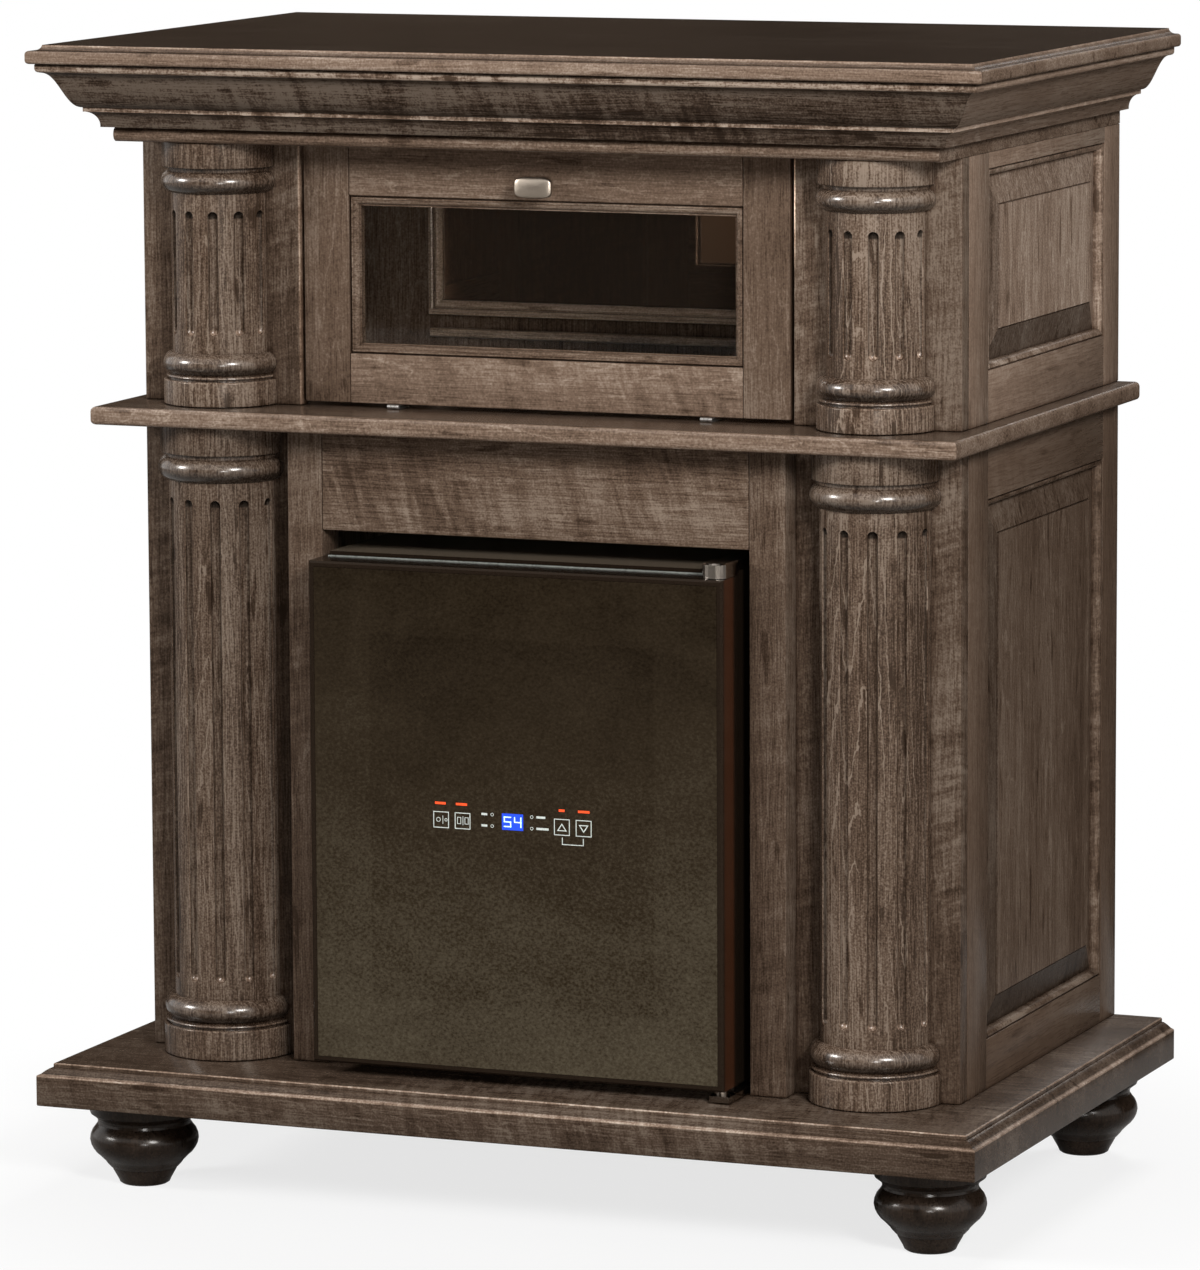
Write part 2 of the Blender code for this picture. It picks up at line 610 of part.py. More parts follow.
finish("back_mirror", mesh, SILVER)

# Stemware rack: T-shaped rails under one plate, open to the front
rack_x = (STEM_RAILS - 1) * STEM_PITCH / 2
outline = [(-rack_x - STEM_FLANGE_W / 2, 0)]
for i in range(STEM_RAILS):
    x = -rack_x + i * STEM_PITCH
    web = STEM_WEB_W / 2
    flange = STEM_FLANGE_W / 2
    low = -STEM_PLATE_T - STEM_WEB_H
    if i == 0:
        outline.append((x - flange, -STEM_PLATE_T))
    outline += [(x - web, -STEM_PLATE_T), (x - web, low), (x - flange, low), (x - flange, low - STEM_FLANGE_T)]
    outline += [(x + flange, low - STEM_FLANGE_T), (x + flange, low), (x + web, low), (x + web, -STEM_PLATE_T)]
outline += [(rack_x + STEM_FLANGE_W / 2, -STEM_PLATE_T), (rack_x + STEM_FLANGE_W / 2, 0)]
stem_y = (Y_FACE + DOOR_SET + DOOR_T + STEM_SET, wall - GLASS_FRAME_T - STEM_END)
loops = [[(x, y, Z_SOFFIT + z) for x, z in outline] for y in stem_y]
finish("stemware_rack", loft("stemware rack", loops), WOOD)

# Drop-front door, hinged along its lower front edge
door_y = Y_FACE + DOOR_SET
door_z = Z_UPPER + DOOR_LIFT
door_top = Z_SOFFIT - DOOR_TOP_GAP
pin_y = door_y - KNUCKLE_FWD
pin_z = Z_UPPER + KNUCKLE_UP
drop = pivot("drop_door_pivot", (0, pin_y, pin_z))
for hand, sign in (("left", -1), ("right", 1)):
    x0, x1 = sorted((sign * (DOOR_X - DOOR_STILE_W), sign * DOOR_X))
    mesh = block("door stile", x0, x1, door_y, door_y + DOOR_T, door_z, door_top)
    ease(finish(f"door_stile_{hand}", mesh, WOOD, parent=drop))
rail_x = DOOR_X - DOOR_STILE_W - GAP
for end, z0, z1 in (("bottom", door_z, door_z + DOOR_RAIL_W), ("top", door_top - DOOR_RAIL_W, door_top)):
    mesh = block("door rail", -rail_x, rail_x, door_y, door_y + DOOR_T, z0, z1)
    ease(finish(f"door_rail_{end}", mesh, WOOD, parent=drop))
light = (-rail_x, rail_x, door_z + DOOR_RAIL_W + GAP, door_top - DOOR_RAIL_W - GAP)
bead_y = door_y + DOOR_BEAD_SINK
inner = inset(light, DOOR_BEAD_W)
ring = [(bead_y + DOOR_BEAD_T, light), (bead_y, light), (bead_y, inset(light, DOOR_BEAD_W / 4))]
ring += [(bead_y + DOOR_BEAD_T / 2, inset(light, DOOR_BEAD_W * 3 / 4))]
ring += [(bead_y + DOOR_BEAD_T * 3 / 4, inner), (bead_y + DOOR_BEAD_T, inner)]
mesh = loft("door bead", [rect("Y", y, *b) for y, b in ring], ring=True)
finish("door_bead", mesh, WOOD, parent=drop)
glass_y = bead_y + DOOR_BEAD_T + GAP
pane = inset(light, GAP)
mesh = loft("door glass", [rect("Y", y, *pane) for y in (glass_y, glass_y + DOOR_GLASS_T)])
finish("door_glass", mesh, GLASS, parent=drop)
stop_y = glass_y + DOOR_GLASS_T + GAP
inner = inset(light, DOOR_STOP_W)
ring = [(stop_y, light), (stop_y + DOOR_STOP_T, light), (stop_y + DOOR_STOP_T, inner), (stop_y, inner)]
mesh = loft("door stop", [rect("Y", y, *b) for y, b in ring], ring=True)
finish("door_stop", mesh, WOOD, parent=drop)

knob_z = door_top - KNOB_DROP
face = door_y - KNOB_OUT
back = face + KNOB_T
tall = KNOB_H / 2
half = KNOB_L / 2
border = [(back, 1.0), (back - KNOB_RIM, 1.0), (back - 2 * KNOB_RIM, 0.97)]
loops = [rect("Y", y, -half * k, half * k, knob_z - tall * k, knob_z + tall * k) for y, k in border]
knob = finish("door_knob", loft("knob", loops, smooth=True), PEWTER, parent=drop)
cushion = arc(back - KNOB_RIM, knob_z, KNOB_T - KNOB_RIM, tall - 2 * KNOB_RIM, 90, 270, 12)
ends = [(-half + KNOB_RIM, 0.94), (-half + 2 * KNOB_RIM, 1.0), (half - 2 * KNOB_RIM, 1.0), (half - KNOB_RIM, 0.94)]
loops = [[(x, back + (y - back) * k, knob_z + (z - knob_z) * k) for y, z in cushion] for x, k in ends]
boolean(knob, "UNION", [loft("cushion", loops)])
seat = door_y - GAP
rose_t = KNOB_RIM * 2
post = KNOB_OUT - GAP - KNOB_T + KNOB_RIM
stem = revolve("stem", [(0, 0), (KNOB_ROSE_R, 0), (KNOB_ROSE_R, rose_t), (KNOB_STEM_R, rose_t * 2),
                        (KNOB_STEM_R, post), (0, post)], 16, "Y")
stem.transform(Matrix.Rotation(pi, 4, "X"))
stem.transform(Matrix.Translation((0, seat, knob_z)))
boolean(knob, "UNION", [stem])

# Butt hinges: the fixed leaf carries the pin and the outer knuckles
half = LEAF_W / 2
third = LEAF_W / 6
leaf_y = pin_y + KNUCKLE_R + GAP
for hand, sign in (("left", -1), ("right", 1)):
    x = sign * (DOOR_X - HINGE_AT) + HINGE_SHIFT
    top = door_z - GAP
    mesh = block("leaf", x - half, x + half, leaf_y, leaf_y + LEAF_D, top - LEAF_T, top)
    leaf = finish(f"hinge_leaf_{hand}", mesh, PEWTER, parent=drop)
    neck = block("neck", x - third + GAP, x + third - GAP, pin_y, leaf_y + LEAF_T, top - LEAF_T, top)
    boolean(leaf, "UNION", [neck])
    barrel = rod("barrel", KNUCKLE_R, (x - third + GAP / 2, pin_y, pin_z), 2 * third - GAP, "X")
    boolean(leaf, "UNION", [barrel])
    bore = rod("bore", HINGE_PIN_R + HINGE_PLAY / 2, (x - half, pin_y, pin_z), LEAF_W, "X")
    boolean(leaf, "DIFFERENCE", [bore])
    low = Z_UPPER + GAP
    mesh = block("leaf", x - half, x + half, leaf_y, leaf_y + LEAF_D, low, low + LEAF_T)
    base = finish(f"hinge_base_{hand}", mesh, PEWTER)
    spans = ((x - half, x - third - GAP), (x + third + GAP, x + half))
    necks = [block("neck", a, b, pin_y, leaf_y + LEAF_T, low, low + LEAF_T) for a, b in spans]
    boolean(base, "UNION", necks)
    boolean(base, "UNION", [rod("barrel", KNUCKLE_R, (a, pin_y, pin_z), b - a, "X") for a, b in spans])
    pin = rod("pin", HINGE_PIN_R, (x - half + GAP, pin_y, pin_z), LEAF_W - 2 * GAP, "X")
    boolean(base, "UNION", [pin])

# Cooler body: an insulated case open at the front, with a recess for the fan in its rear wall
body_y = Y_FACE - BODY_PROUD
body_back = body_y + COOLER_BODY_D
body_z = Z_LOWER + COOLER_BODY_LIFT
body_top = body_z + COOLER_BODY_H
body_x = COOLER_BODY_W / 2
shell = (-body_x, body_x, body_z, body_top)
cavity = inset(shell, COOLER_WALL)
cavity_back = body_back - COOLER_REAR_WALL
walls = [(body_back, shell), (body_y, shell), (body_y, cavity), (cavity_back, cavity)]
mesh = loft("cooler body", [rect("Y", y, *b) for y, b in walls])
housing = finish("cooler_housing", mesh, BLACK)
fan_z = body_z + FAN_UP
fan_half = FAN_W / 2
recess = fan_half + GAP
recess_y = body_back - FAN_T - SINK_D - 2 * GAP
cutter = block("recess", -recess, recess, recess_y, body_back + FAN_T, fan_z - recess, fan_z + recess)
boolean(housing, "DIFFERENCE", [cutter])
foot_at = body_x - COOLER_FOOT_INSET
feet = []
for x in (-foot_at, foot_at):
    for y in (body_y + COOLER_FOOT_INSET + HINGE_REACH, body_back - COOLER_FOOT_INSET):
        feet.append(rod("foot", COOLER_FOOT_R, (x, y, Z_LOWER + GAP), COOLER_BODY_LIFT + COOLER_WALL / 2, "Z"))
boolean(housing, "UNION", feet)

tub = inset(cavity, GAP)
tub_in = inset(tub, LINER_T)
walls = [(cavity_back - GAP, tub), (body_y + GAP, tub), (body_y + GAP, tub_in)]
walls += [(cavity_back - GAP - LINER_T, tub_in)]
mesh = loft("cooler liner", [rect("Y", y, *b) for y, b in walls])
liner = finish("cooler_liner", mesh, GREY)
tub_x, tub_z, tub_h = tub_in[1], tub_in[2], tub_in[3] - tub_in[2]
pitch = tub_h / (RACK_COUNT + 1)
shelf_y = (body_y + LEDGE_W, cavity_back - LINER_T - LEDGE_W)
ledges = []
for i in range(RACK_COUNT):
    z = tub_z + (i + 1) * pitch
    for sign in (-1, 1):
        x0, x1 = sorted((sign * (tub_x - LEDGE_W), sign * (tub_x + LINER_T / 2)))
        ledges.append(block("ledge", x0, x1, *shelf_y, z - LEDGE_H, z))
boolean(liner, "UNION", ledges)

# Wire racks on the ledges: long rods between two cross bars
rack_x = tub_x - GAP
for i in range(RACK_COUNT):
    z = tub_z + (i + 1) * pitch + GAP + RACK_ROD_R
    bar_y = (shelf_y[0] + LEDGE_W, shelf_y[1] - LEDGE_W)
    bar = rod("bar", RACK_ROD_R, (-rack_x, bar_y[0], z), 2 * rack_x, "X", 8)
    rack = finish(f"cooler_rack_{i + 1}", bar, SILVER)
    step = 2 * (rack_x - LEDGE_W - 2 * RACK_ROD_R) / (RACK_RODS - 1)
    wire_z = z + RACK_ROD_R * 1.2
    long = [rod("rod", RACK_ROD_R * 0.8, ((j - (RACK_RODS - 1) / 2) * step, bar_y[0] - RACK_ROD_R * 2, wire_z),
                bar_y[1] - bar_y[0] + RACK_ROD_R * 4, "Y", 6) for j in range(RACK_RODS)]
    boolean(rack, "UNION", long)
    boolean(rack, "UNION", [rod("bar", RACK_ROD_R, (-rack_x, bar_y[1], z), 2 * rack_x, "X", 8)])

# Cooler door on two vertical pins at its right edge
front_y = Y_FACE - COOLER_DOOR_PROUD
rear_y = front_y + COOLER_DOOR_T
leaf_x = COOLER_DOOR_W / 2
leaf_z = Z_LOWER + COOLER_DOOR_LIFT
leaf_top = leaf_z + COOLER_DOOR_H
swing_x = leaf_x - PIVOT_INSET
swing_y = front_y + PIVOT_BACK
swing = pivot("cooler_door_pivot", (swing_x, swing_y, leaf_z))
edge = (-leaf_x, leaf_x, leaf_z, leaf_top)
bed = inset(edge, MIRROR_RIM)
window = (-leaf_x + WINDOW_SIDE, leaf_x - WINDOW_SIDE, leaf_z + WINDOW_END, leaf_top - WINDOW_END)
bed_y = front_y + MIRROR_T + GAP
ring = [(rear_y, edge), (front_y + RIM_SLOPE, edge), (front_y, inset(edge, RIM_SLOPE)), (front_y, bed)]
ring += [(bed_y, bed), (bed_y, window), (rear_y, window)]
mesh = loft("cooler door", [rect("Y", y, *b) for y, b in ring], ring=True)
door = finish("cooler_door_frame", mesh, GUNMETAL, parent=swing)
bore_r = PIVOT_R + HINGE_PLAY
sockets = [rod("socket", bore_r, (swing_x, swing_y, z), PIVOT_DEPTH * 2, "Z")
           for z in (leaf_z - PIVOT_DEPTH, leaf_top - PIVOT_DEPTH)]
boolean(door, "DIFFERENCE", sockets)
pane = inset(bed, GAP)
mesh = loft("cooler mirror", [rect("Y", y, *pane) for y in (front_y, front_y + MIRROR_T)])
finish("cooler_door_mirror", mesh, DARK_MIRROR, parent=swing)
seal = inset(edge, GASKET_INSET)
seal_in = inset(seal, GASKET_W)
ring = [(rear_y + GAP, seal), (body_y - GAP, seal), (body_y - GAP, seal_in), (rear_y + GAP, seal_in)]
mesh = loft("gasket", [rect("Y", y, *b) for y, b in ring], ring=True)
finish("cooler_door_gasket", mesh, BLACK, parent=swing)


# Upper hinge: a round-nosed cap over the door and the body, with a pin in the door
reach = body_y + HINGE_REACH
cap_x1 = leaf_x
cap_x0 = cap_x1 - HINGE_CAP_W
cap_mid = (cap_x0 + cap_x1) / 2
cap_y = swing_y - PIVOT_R - EASE
cap_foot = leaf_top + 2 * GAP
cap_head = leaf_top + HINGE_CAP_H
nose_line = arc(cap_mid, cap_y, HINGE_CAP_W / 2, HINGE_CAP_NOSE, 180, 360, 10)
seam = body_y - GAP
cap_line = [(cap_x1, seam), (cap_x0, seam)]
smaller = [(cap_mid + (x - cap_mid) * 0.93, y + EASE) for x, y in nose_line]
layers = [(cap_foot, nose_line), (cap_head - EASE, nose_line), (cap_head, smaller)]
mesh = loft("hinge cap", [[(x, y, z) for x, y in line + cap_line] for z, line in layers])
bracket = finish("cooler_hinge_top", mesh, GUNMETAL)
tail = block("tail", cap_x0 + EASE, cap_x1 - EASE, seam - HINGE_CAP_NOSE, reach, body_top + GAP, cap_head - EASE)
boolean(bracket, "UNION", [tail])
pin_z0 = leaf_top - PIVOT_DEPTH + GAP
pin = rod("pin", PIVOT_R, (swing_x, swing_y, pin_z0), cap_head - 2 * EASE - pin_z0, "Z")
boolean(bracket, "UNION", [pin])

# Lower hinge: a shoe under the corner of the door, with a pin up into it
shoe_x1 = leaf_x + HINGE_SHOE_OUT
shoe_x0 = shoe_x1 - HINGE_SHOE_W
shoe_z = Z_LOWER + HINGE_SHOE_LIFT
shoe_top = shoe_z + HINGE_SHOE_T
mesh = block("hinge shoe", shoe_x0, shoe_x1, front_y + HINGE_SHOE_SET, reach, shoe_z, shoe_top)
bracket = finish("cooler_hinge_bottom", mesh, GUNMETAL)
heel = block("heel", shoe_x0 - HINGE_SHOE_W / 2, body_x - EASE, body_y + EASE, reach - EASE,
             shoe_z + EASE, body_z - GAP)
boolean(bracket, "UNION", [heel])
collar = rod("collar", PIVOT_R * 1.8, (swing_x, swing_y, shoe_z + EASE), leaf_z - GAP - shoe_z - EASE, "Z")
boolean(bracket, "UNION", [collar])
pin_h = leaf_z + PIVOT_DEPTH - GAP - shoe_z - 2 * EASE
boolean(bracket, "UNION", [rod("pin", PIVOT_R, (swing_x, swing_y, shoe_z + 2 * EASE), pin_h, "Z")])

# Heat sink and fan in the recess of the rear wall
sink_y = recess_y + GAP
fin_pitch = (FAN_W - SINK_FIN_T) / (SINK_FINS - 1)
outline = [(fan_half, sink_y), (-fan_half, sink_y)]
for i in range(SINK_FINS):
    x = -fan_half + i * fin_pitch
    outline += [(x, sink_y + SINK_BASE_T), (x, sink_y + SINK_D - GAP)]
    outline += [(x + SINK_FIN_T, sink_y + SINK_D - GAP), (x + SINK_FIN_T, sink_y + SINK_BASE_T)]
outline = outline[:2] + outline[3:-1]
loops = [[(x, y, z) for x, y in outline] for z in (fan_z - fan_half, fan_z + fan_half)]
finish("heat_sink", loft("heat sink", loops), SILVER)
fan_y = body_back - FAN_T
mesh = block("fan frame", -fan_half, fan_half, fan_y, body_back, fan_z - fan_half, fan_z + fan_half)
fan_frame = finish("fan_frame", mesh, BLACK)
boolean(fan_frame, "DIFFERENCE", [rod("bore", FAN_BORE_R, (0, fan_y - FAN_T, fan_z), FAN_T * 3, "Y", 32)])
strut = LINER_T * 2
arm = (FAN_BORE_R + fan_half) / 2
cross = [block("strut", -arm, arm, fan_y, fan_y + strut / 2, fan_z - strut / 2, fan_z + strut / 2)]
boolean(fan_frame, "UNION", cross)
cross = [block("strut", -strut / 2, strut / 2, fan_y, fan_y + strut / 2, fan_z - arm, fan_z + arm)]
boolean(fan_frame, "UNION", cross)
spindle_l = FAN_T * 0.7
boolean(fan_frame, "UNION", [rod("boss", FAN_HUB_R, (0, fan_y, fan_z), strut / 2, "Y", 20)])
spindle = rod("spindle", FAN_SPINDLE_R, (0, fan_y + strut / 4, fan_z), spindle_l, "Y", 12)
boolean(fan_frame, "UNION", [spindle])
spin = pivot("fan_pivot", (0, fan_y, fan_z))
hub_y = fan_y + strut / 2 + GAP
hub_l = FAN_T - strut
rotor = finish("fan_rotor", rod("hub", FAN_HUB_R, (0, hub_y, fan_z), hub_l, "Y", 20), BLACK, parent=spin)
blade_out = FAN_BORE_R - FAN_TIP
blades = []
for i in range(FAN_BLADES):
    blade = block("blade", FAN_HUB_R - strut / 2, blade_out, -hub_l / 3, hub_l / 3, -strut / 6, strut / 6)
    blade.transform(Matrix.Rotation(radians(50), 4, "X"))
    blade.transform(Matrix.Rotation(2 * pi * i / FAN_BLADES, 4, "Y"))
    blade.transform(Matrix.Translation((0, hub_y + hub_l / 2, fan_z)))
    blades.append(blade)
boolean(rotor, "UNION", blades)
bore = rod("bore", FAN_SPINDLE_R + GAP, (0, hub_y - strut, fan_z), spindle_l + strut, "Y", 12)
boolean(rotor, "DIFFERENCE", [bore])
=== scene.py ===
"""Dresses the wine cabinet: turned columns, mouldings, stained maple, pewter, mirror and glass."""
from math import acos, cos, pi, radians, sin

import bmesh
import bpy
from mathutils import Matrix, Vector


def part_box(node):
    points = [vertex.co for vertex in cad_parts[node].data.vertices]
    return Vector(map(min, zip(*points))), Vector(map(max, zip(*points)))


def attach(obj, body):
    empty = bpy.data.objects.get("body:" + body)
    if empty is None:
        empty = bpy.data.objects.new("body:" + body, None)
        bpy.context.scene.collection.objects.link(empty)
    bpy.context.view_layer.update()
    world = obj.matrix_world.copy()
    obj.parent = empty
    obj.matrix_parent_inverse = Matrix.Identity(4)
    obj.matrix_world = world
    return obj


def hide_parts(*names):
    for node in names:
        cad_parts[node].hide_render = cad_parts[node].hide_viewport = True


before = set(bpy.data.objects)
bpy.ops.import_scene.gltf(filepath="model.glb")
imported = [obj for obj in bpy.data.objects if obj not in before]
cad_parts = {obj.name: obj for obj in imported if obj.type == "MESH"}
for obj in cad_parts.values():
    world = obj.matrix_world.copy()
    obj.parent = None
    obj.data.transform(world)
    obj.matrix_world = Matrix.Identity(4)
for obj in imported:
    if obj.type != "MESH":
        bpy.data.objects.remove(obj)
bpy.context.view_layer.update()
bpy.ops.object.select_all(action="DESELECT")
scene = bpy.context.scene
scene.view_settings.view_transform = "Standard"


# ------------ node helpers
def plug(tree, socket, value):
    """Sets a socket, or joins it to another socket."""
    if isinstance(value, bpy.types.NodeSocket):
        tree.links.new(value, socket)
    else:
        socket.default_value = value


def feed(tree, made, **inputs):
    """Fills a node's inputs; an underscore in an input's name stands for a space."""
    for key, value in inputs.items():
        plug(tree, made.inputs[key.replace("_", " ")], value)
    return made


def add(tree, kind, settings=None, **inputs):
    """A node with its settings and inputs."""
    made = tree.nodes.new(f"ShaderNode{kind}")
    for key, value in (settings or {}).items():
        setattr(made, key, value)
    return feed(tree, made, **inputs)


def calc(tree, work, *values, clamp=False):
    """A Math node."""
    made = tree.nodes.new("ShaderNodeMath")
    made.operation = work
    made.use_clamp = clamp
    for socket, value in zip(made.inputs, values):
        plug(tree, socket, value)
    return made.outputs[0]


def times(tree, *values):
    """Values multiplied together."""
    product = values[0]
    for value in values[1:]:
        product = calc(tree, "MULTIPLY", product, value)
    return product


def swing(tree, value, weight, base):
    """A base that a value sways to and fro, by weight, as it swings about a half."""
    return calc(tree, "MULTIPLY_ADD", calc(tree, "SUBTRACT", value, 0.5), weight, base)


def vector(tree, work, *values):
    """A Vector Math node."""
    made = tree.nodes.new("ShaderNodeVectorMath")
    made.operation = work
    for socket, value in zip(made.inputs, values):
        plug(tree, socket, value)
    return made.outputs["Value" if work == "LENGTH" else "Vector"]


def noise(tree, where, stretch, detail=2.0, rough=0.5, warp=0.0, out="Fac"):
    """Noise whose features per metre are given along each axis."""
    spread = vector(tree, "MULTIPLY", where, stretch)
    made = add(tree, "TexNoise", Vector=spread, Scale=1.0, Detail=detail, Roughness=rough, Distortion=warp)
    return made.outputs[out]


def span(tree, value, low, high, out_low=0.0, out_high=1.0, smooth=False):
    """A value read between two limits onto two others."""
    made = add(tree, "MapRange", {"interpolation_type": "SMOOTHSTEP" if smooth else "LINEAR"},
               Value=value, From_Min=low, From_Max=high, To_Min=out_low, To_Max=out_high)
    return made.outputs["Result"]


def within(tree, value, rise, fall, smooth=False):
    """1 between two limits, each a pair of values between which it rises or falls."""
    return times(tree, span(tree, value, *rise, smooth=smooth), span(tree, value, *fall, 1.0, 0.0, smooth=smooth))


def ramp(tree, value, *stops):
    """Colours along a value."""
    made = add(tree, "ValToRGB", Fac=value)
    while len(made.color_ramp.elements) < len(stops):
        made.color_ramp.elements.new(0.5)
    for element, (at, colour) in zip(made.color_ramp.elements, stops):
        element.position = at
        element.color = (*colour, 1)
    return made.outputs["Color"]


def blend(tree, factor, one, two, way="MIX"):
    """Two colours mixed."""
    made = add(tree, "Mix", {"data_type": "RGBA", "blend_type": way})
    plug(tree, made.inputs[0], factor)
    for socket, value in ((6, one), (7, two)):
        plug(tree, made.inputs[socket], (*value, 1) if isinstance(value, tuple) else value)
    return made.outputs[2]


def multiply(tree, one, two):
    """Two colours multiplied."""
    return blend(tree, 1.0, one, two, "MULTIPLY")


def finish_start(name, **values):
    """A new material with its shader's constant values."""
    made = bpy.data.materials.new(name)
    made.use_nodes = True
    tree = made.node_tree
    return made, tree, feed(tree, tree.nodes["Principled BSDF"], **values)


def mix_shaders(tree, factor, one, two):
    """Shows a mix of two shaders on the surface."""
    mixed = add(tree, "MixShader")
    for socket, value in zip(mixed.inputs, (factor, one.outputs[0], two.outputs[0])):
        plug(tree, socket, value)
    tree.links.new(mixed.outputs[0], tree.nodes["Material Output"].inputs["Surface"])


def here(tree):
    """Object coordinates."""
    return tree.nodes.new("ShaderNodeTexCoord").outputs["Object"]


def apart(tree, where):
    """A vector's X, Y and Z."""
    return add(tree, "SeparateXYZ", Vector=where).outputs


def facing(tree):
    """X, Y and Z of the way that the surface faces."""
    return apart(tree, tree.nodes.new("ShaderNodeNewGeometry").outputs["Normal"])


# ------------ stage
EYE = (2.6937, -6.6606, 1.5912)
YAW, PITCH, ROLL = radians(22.112), radians(8.199), radians(-0.269)
SENSOR_MM, LENS_MM, SIGHT = 36, 213.45, 60
LAMPS = (("lamp left", (-4.2, -2.6, 2.5), 1.1, 165), ("lamp right", (3.3, -3.9, 2.7), 1.1, 235),
         ("lamp front", (2.4, -5.9, 1.3), 0.7, 65), ("lamp behind", (0.3, 4.4, 4.0), 1.5, 170))
LAMP_AIM = Vector((0, 0, 0.6))
SKY_TINT, SKY_FILL = (1, 0.93, 0.86), 0.1
FLOOR_SIZE, FLOOR_DROP = 24, 0.0004
FLOOR_TONE, FLOOR_BOUNCE = (0.92, 0.92, 0.92), (0.2, 0.185, 0.17)
CARD_X, UPRIGHT = 0.4, (radians(90), 0, 0)


def set_camera():
    ahead = Vector((-sin(YAW) * cos(PITCH), cos(YAW) * cos(PITCH), -sin(PITCH)))
    right = Vector((cos(YAW), sin(YAW), 0))
    up = right.cross(ahead)
    right, up = right * cos(ROLL) + up * sin(ROLL), up * cos(ROLL) - right * sin(ROLL)
    lens = bpy.data.cameras.new("camera")
    lens.sensor_fit = "HORIZONTAL"
    lens.sensor_width = SENSOR_MM
    lens.lens = LENS_MM
    lens.clip_end = SIGHT
    eye = bpy.data.objects.new("camera", lens)
    eye.matrix_world = Matrix((right, up, -ahead)).transposed().to_4x4()
    eye.location = EYE
    scene.collection.objects.link(eye)
    scene.camera = eye


def seen(tree):
    """1 for rays that show the surroundings themselves: direct, mirrored or through glass."""
    path = tree.nodes.new("ShaderNodeLightPath").outputs
    shown = calc(tree, "ADD", path["Is Camera Ray"], path["Is Glossy Ray"])
    return calc(tree, "ADD", shown, path["Is Transmission Ray"], clamp=True)


def set_light():
    world = bpy.data.worlds.new("studio")
    world.use_nodes = True
    scene.world = world
    tree = world.node_tree
    sky = tree.nodes["Background"]
    shown = seen(tree)
    feed(tree, sky, Color=blend(tree, shown, SKY_TINT, (1, 1, 1)), Strength=span(tree, shown, 0, 1, SKY_FILL, 1.0))
    for name, at, size, watts in LAMPS:
        lamp = bpy.data.lights.new(name, "AREA")
        lamp.size = size
        lamp.energy = watts
        body = bpy.data.objects.new(name, lamp)
        body.location = at
        body.rotation_euler = (LAMP_AIM - Vector(at)).to_track_quat("-Z", "Y").to_euler()
        scene.collection.objects.link(body)


def lay_floor():
    bpy.ops.mesh.primitive_plane_add(size=FLOOR_SIZE, location=(0, 0, -FLOOR_DROP))
    floor = bpy.context.object
    floor.name = "floor"
    bpy.ops.object.transform_apply(location=True)
    made, tree, shader = finish_start("white floor")
    tree.nodes.remove(shader)
    path = tree.nodes.new("ShaderNodeLightPath").outputs
    bounced = calc(tree, "MULTIPLY_ADD", path["Is Glossy Ray"], 0.75, path["Is Diffuse Ray"], clamp=True)
    matt = add(tree, "BsdfDiffuse", Color=blend(tree, bounced, FLOOR_TONE, FLOOR_BOUNCE))
    white = add(tree, "Emission", Strength=1.0)
    reach = vector(tree, "LENGTH", here(tree))
    near = times(tree, span(tree, reach, 0.5, 0.95, 0.76, 1.0, smooth=True), path["Is Camera Ray"])
    far = times(tree, span(tree, reach, 7.0, 10.0, smooth=True), seen(tree))
    mix_shaders(tree, calc(tree, "MAXIMUM", near, far), matt, white)
    floor.data.materials.append(made)


def hang_dark_card(name, y, z, wide, high, through_glass=False):
    """A dark card that only reflections see, a painted dark reflection so that the lacquer and the glass keep their
    depth; the one seen through glass also glows with its brown, as a painted dim room.
    """
    bpy.ops.mesh.primitive_plane_add(size=1, location=(CARD_X, y, z), rotation=UPRIGHT)
    card = bpy.context.object
    card.name = name
    card.scale = (wide, high, 1)
    bpy.ops.object.transform_apply(location=True, rotation=True, scale=True)
    made, tree, shader = finish_start(name.replace("_", " "), Roughness=0.9, Specular_IOR_Level=0.0,
                                      Emission_Strength=1.0 if through_glass else 0.0)
    cloth = noise(tree, here(tree), (2, 2, 2))
    brown = ramp(tree, cloth, (0.3, (0.026, 0.019, 0.014)), (0.7, (0.062, 0.046, 0.034)))
    feed(tree, shader, Base_Color=brown, Emission_Color=brown)
    card.data.materials.append(made)
    card.visible_camera = card.visible_diffuse = card.visible_shadow = False
    card.visible_transmission = through_glass


set_camera()
set_light()
lay_floor()
hang_dark_card("dark_card_behind", 1.15, 1.9, 7, 3.8)
hang_dark_card("dark_card_front", -8.2, 1.5, 16, 3.2, True)


# ------------ wood
GROWTH_LAYER = 0.0038
NOOK_REACH, NOOK_SHADE = 0.008, (0.34, 0.28, 0.24)
LACQUER_TINT = (1, 0.87, 0.74, 1)
COAT_ROUGH, COAT_IOR, COAT_FADE = 0.2, 1.45, 0.001


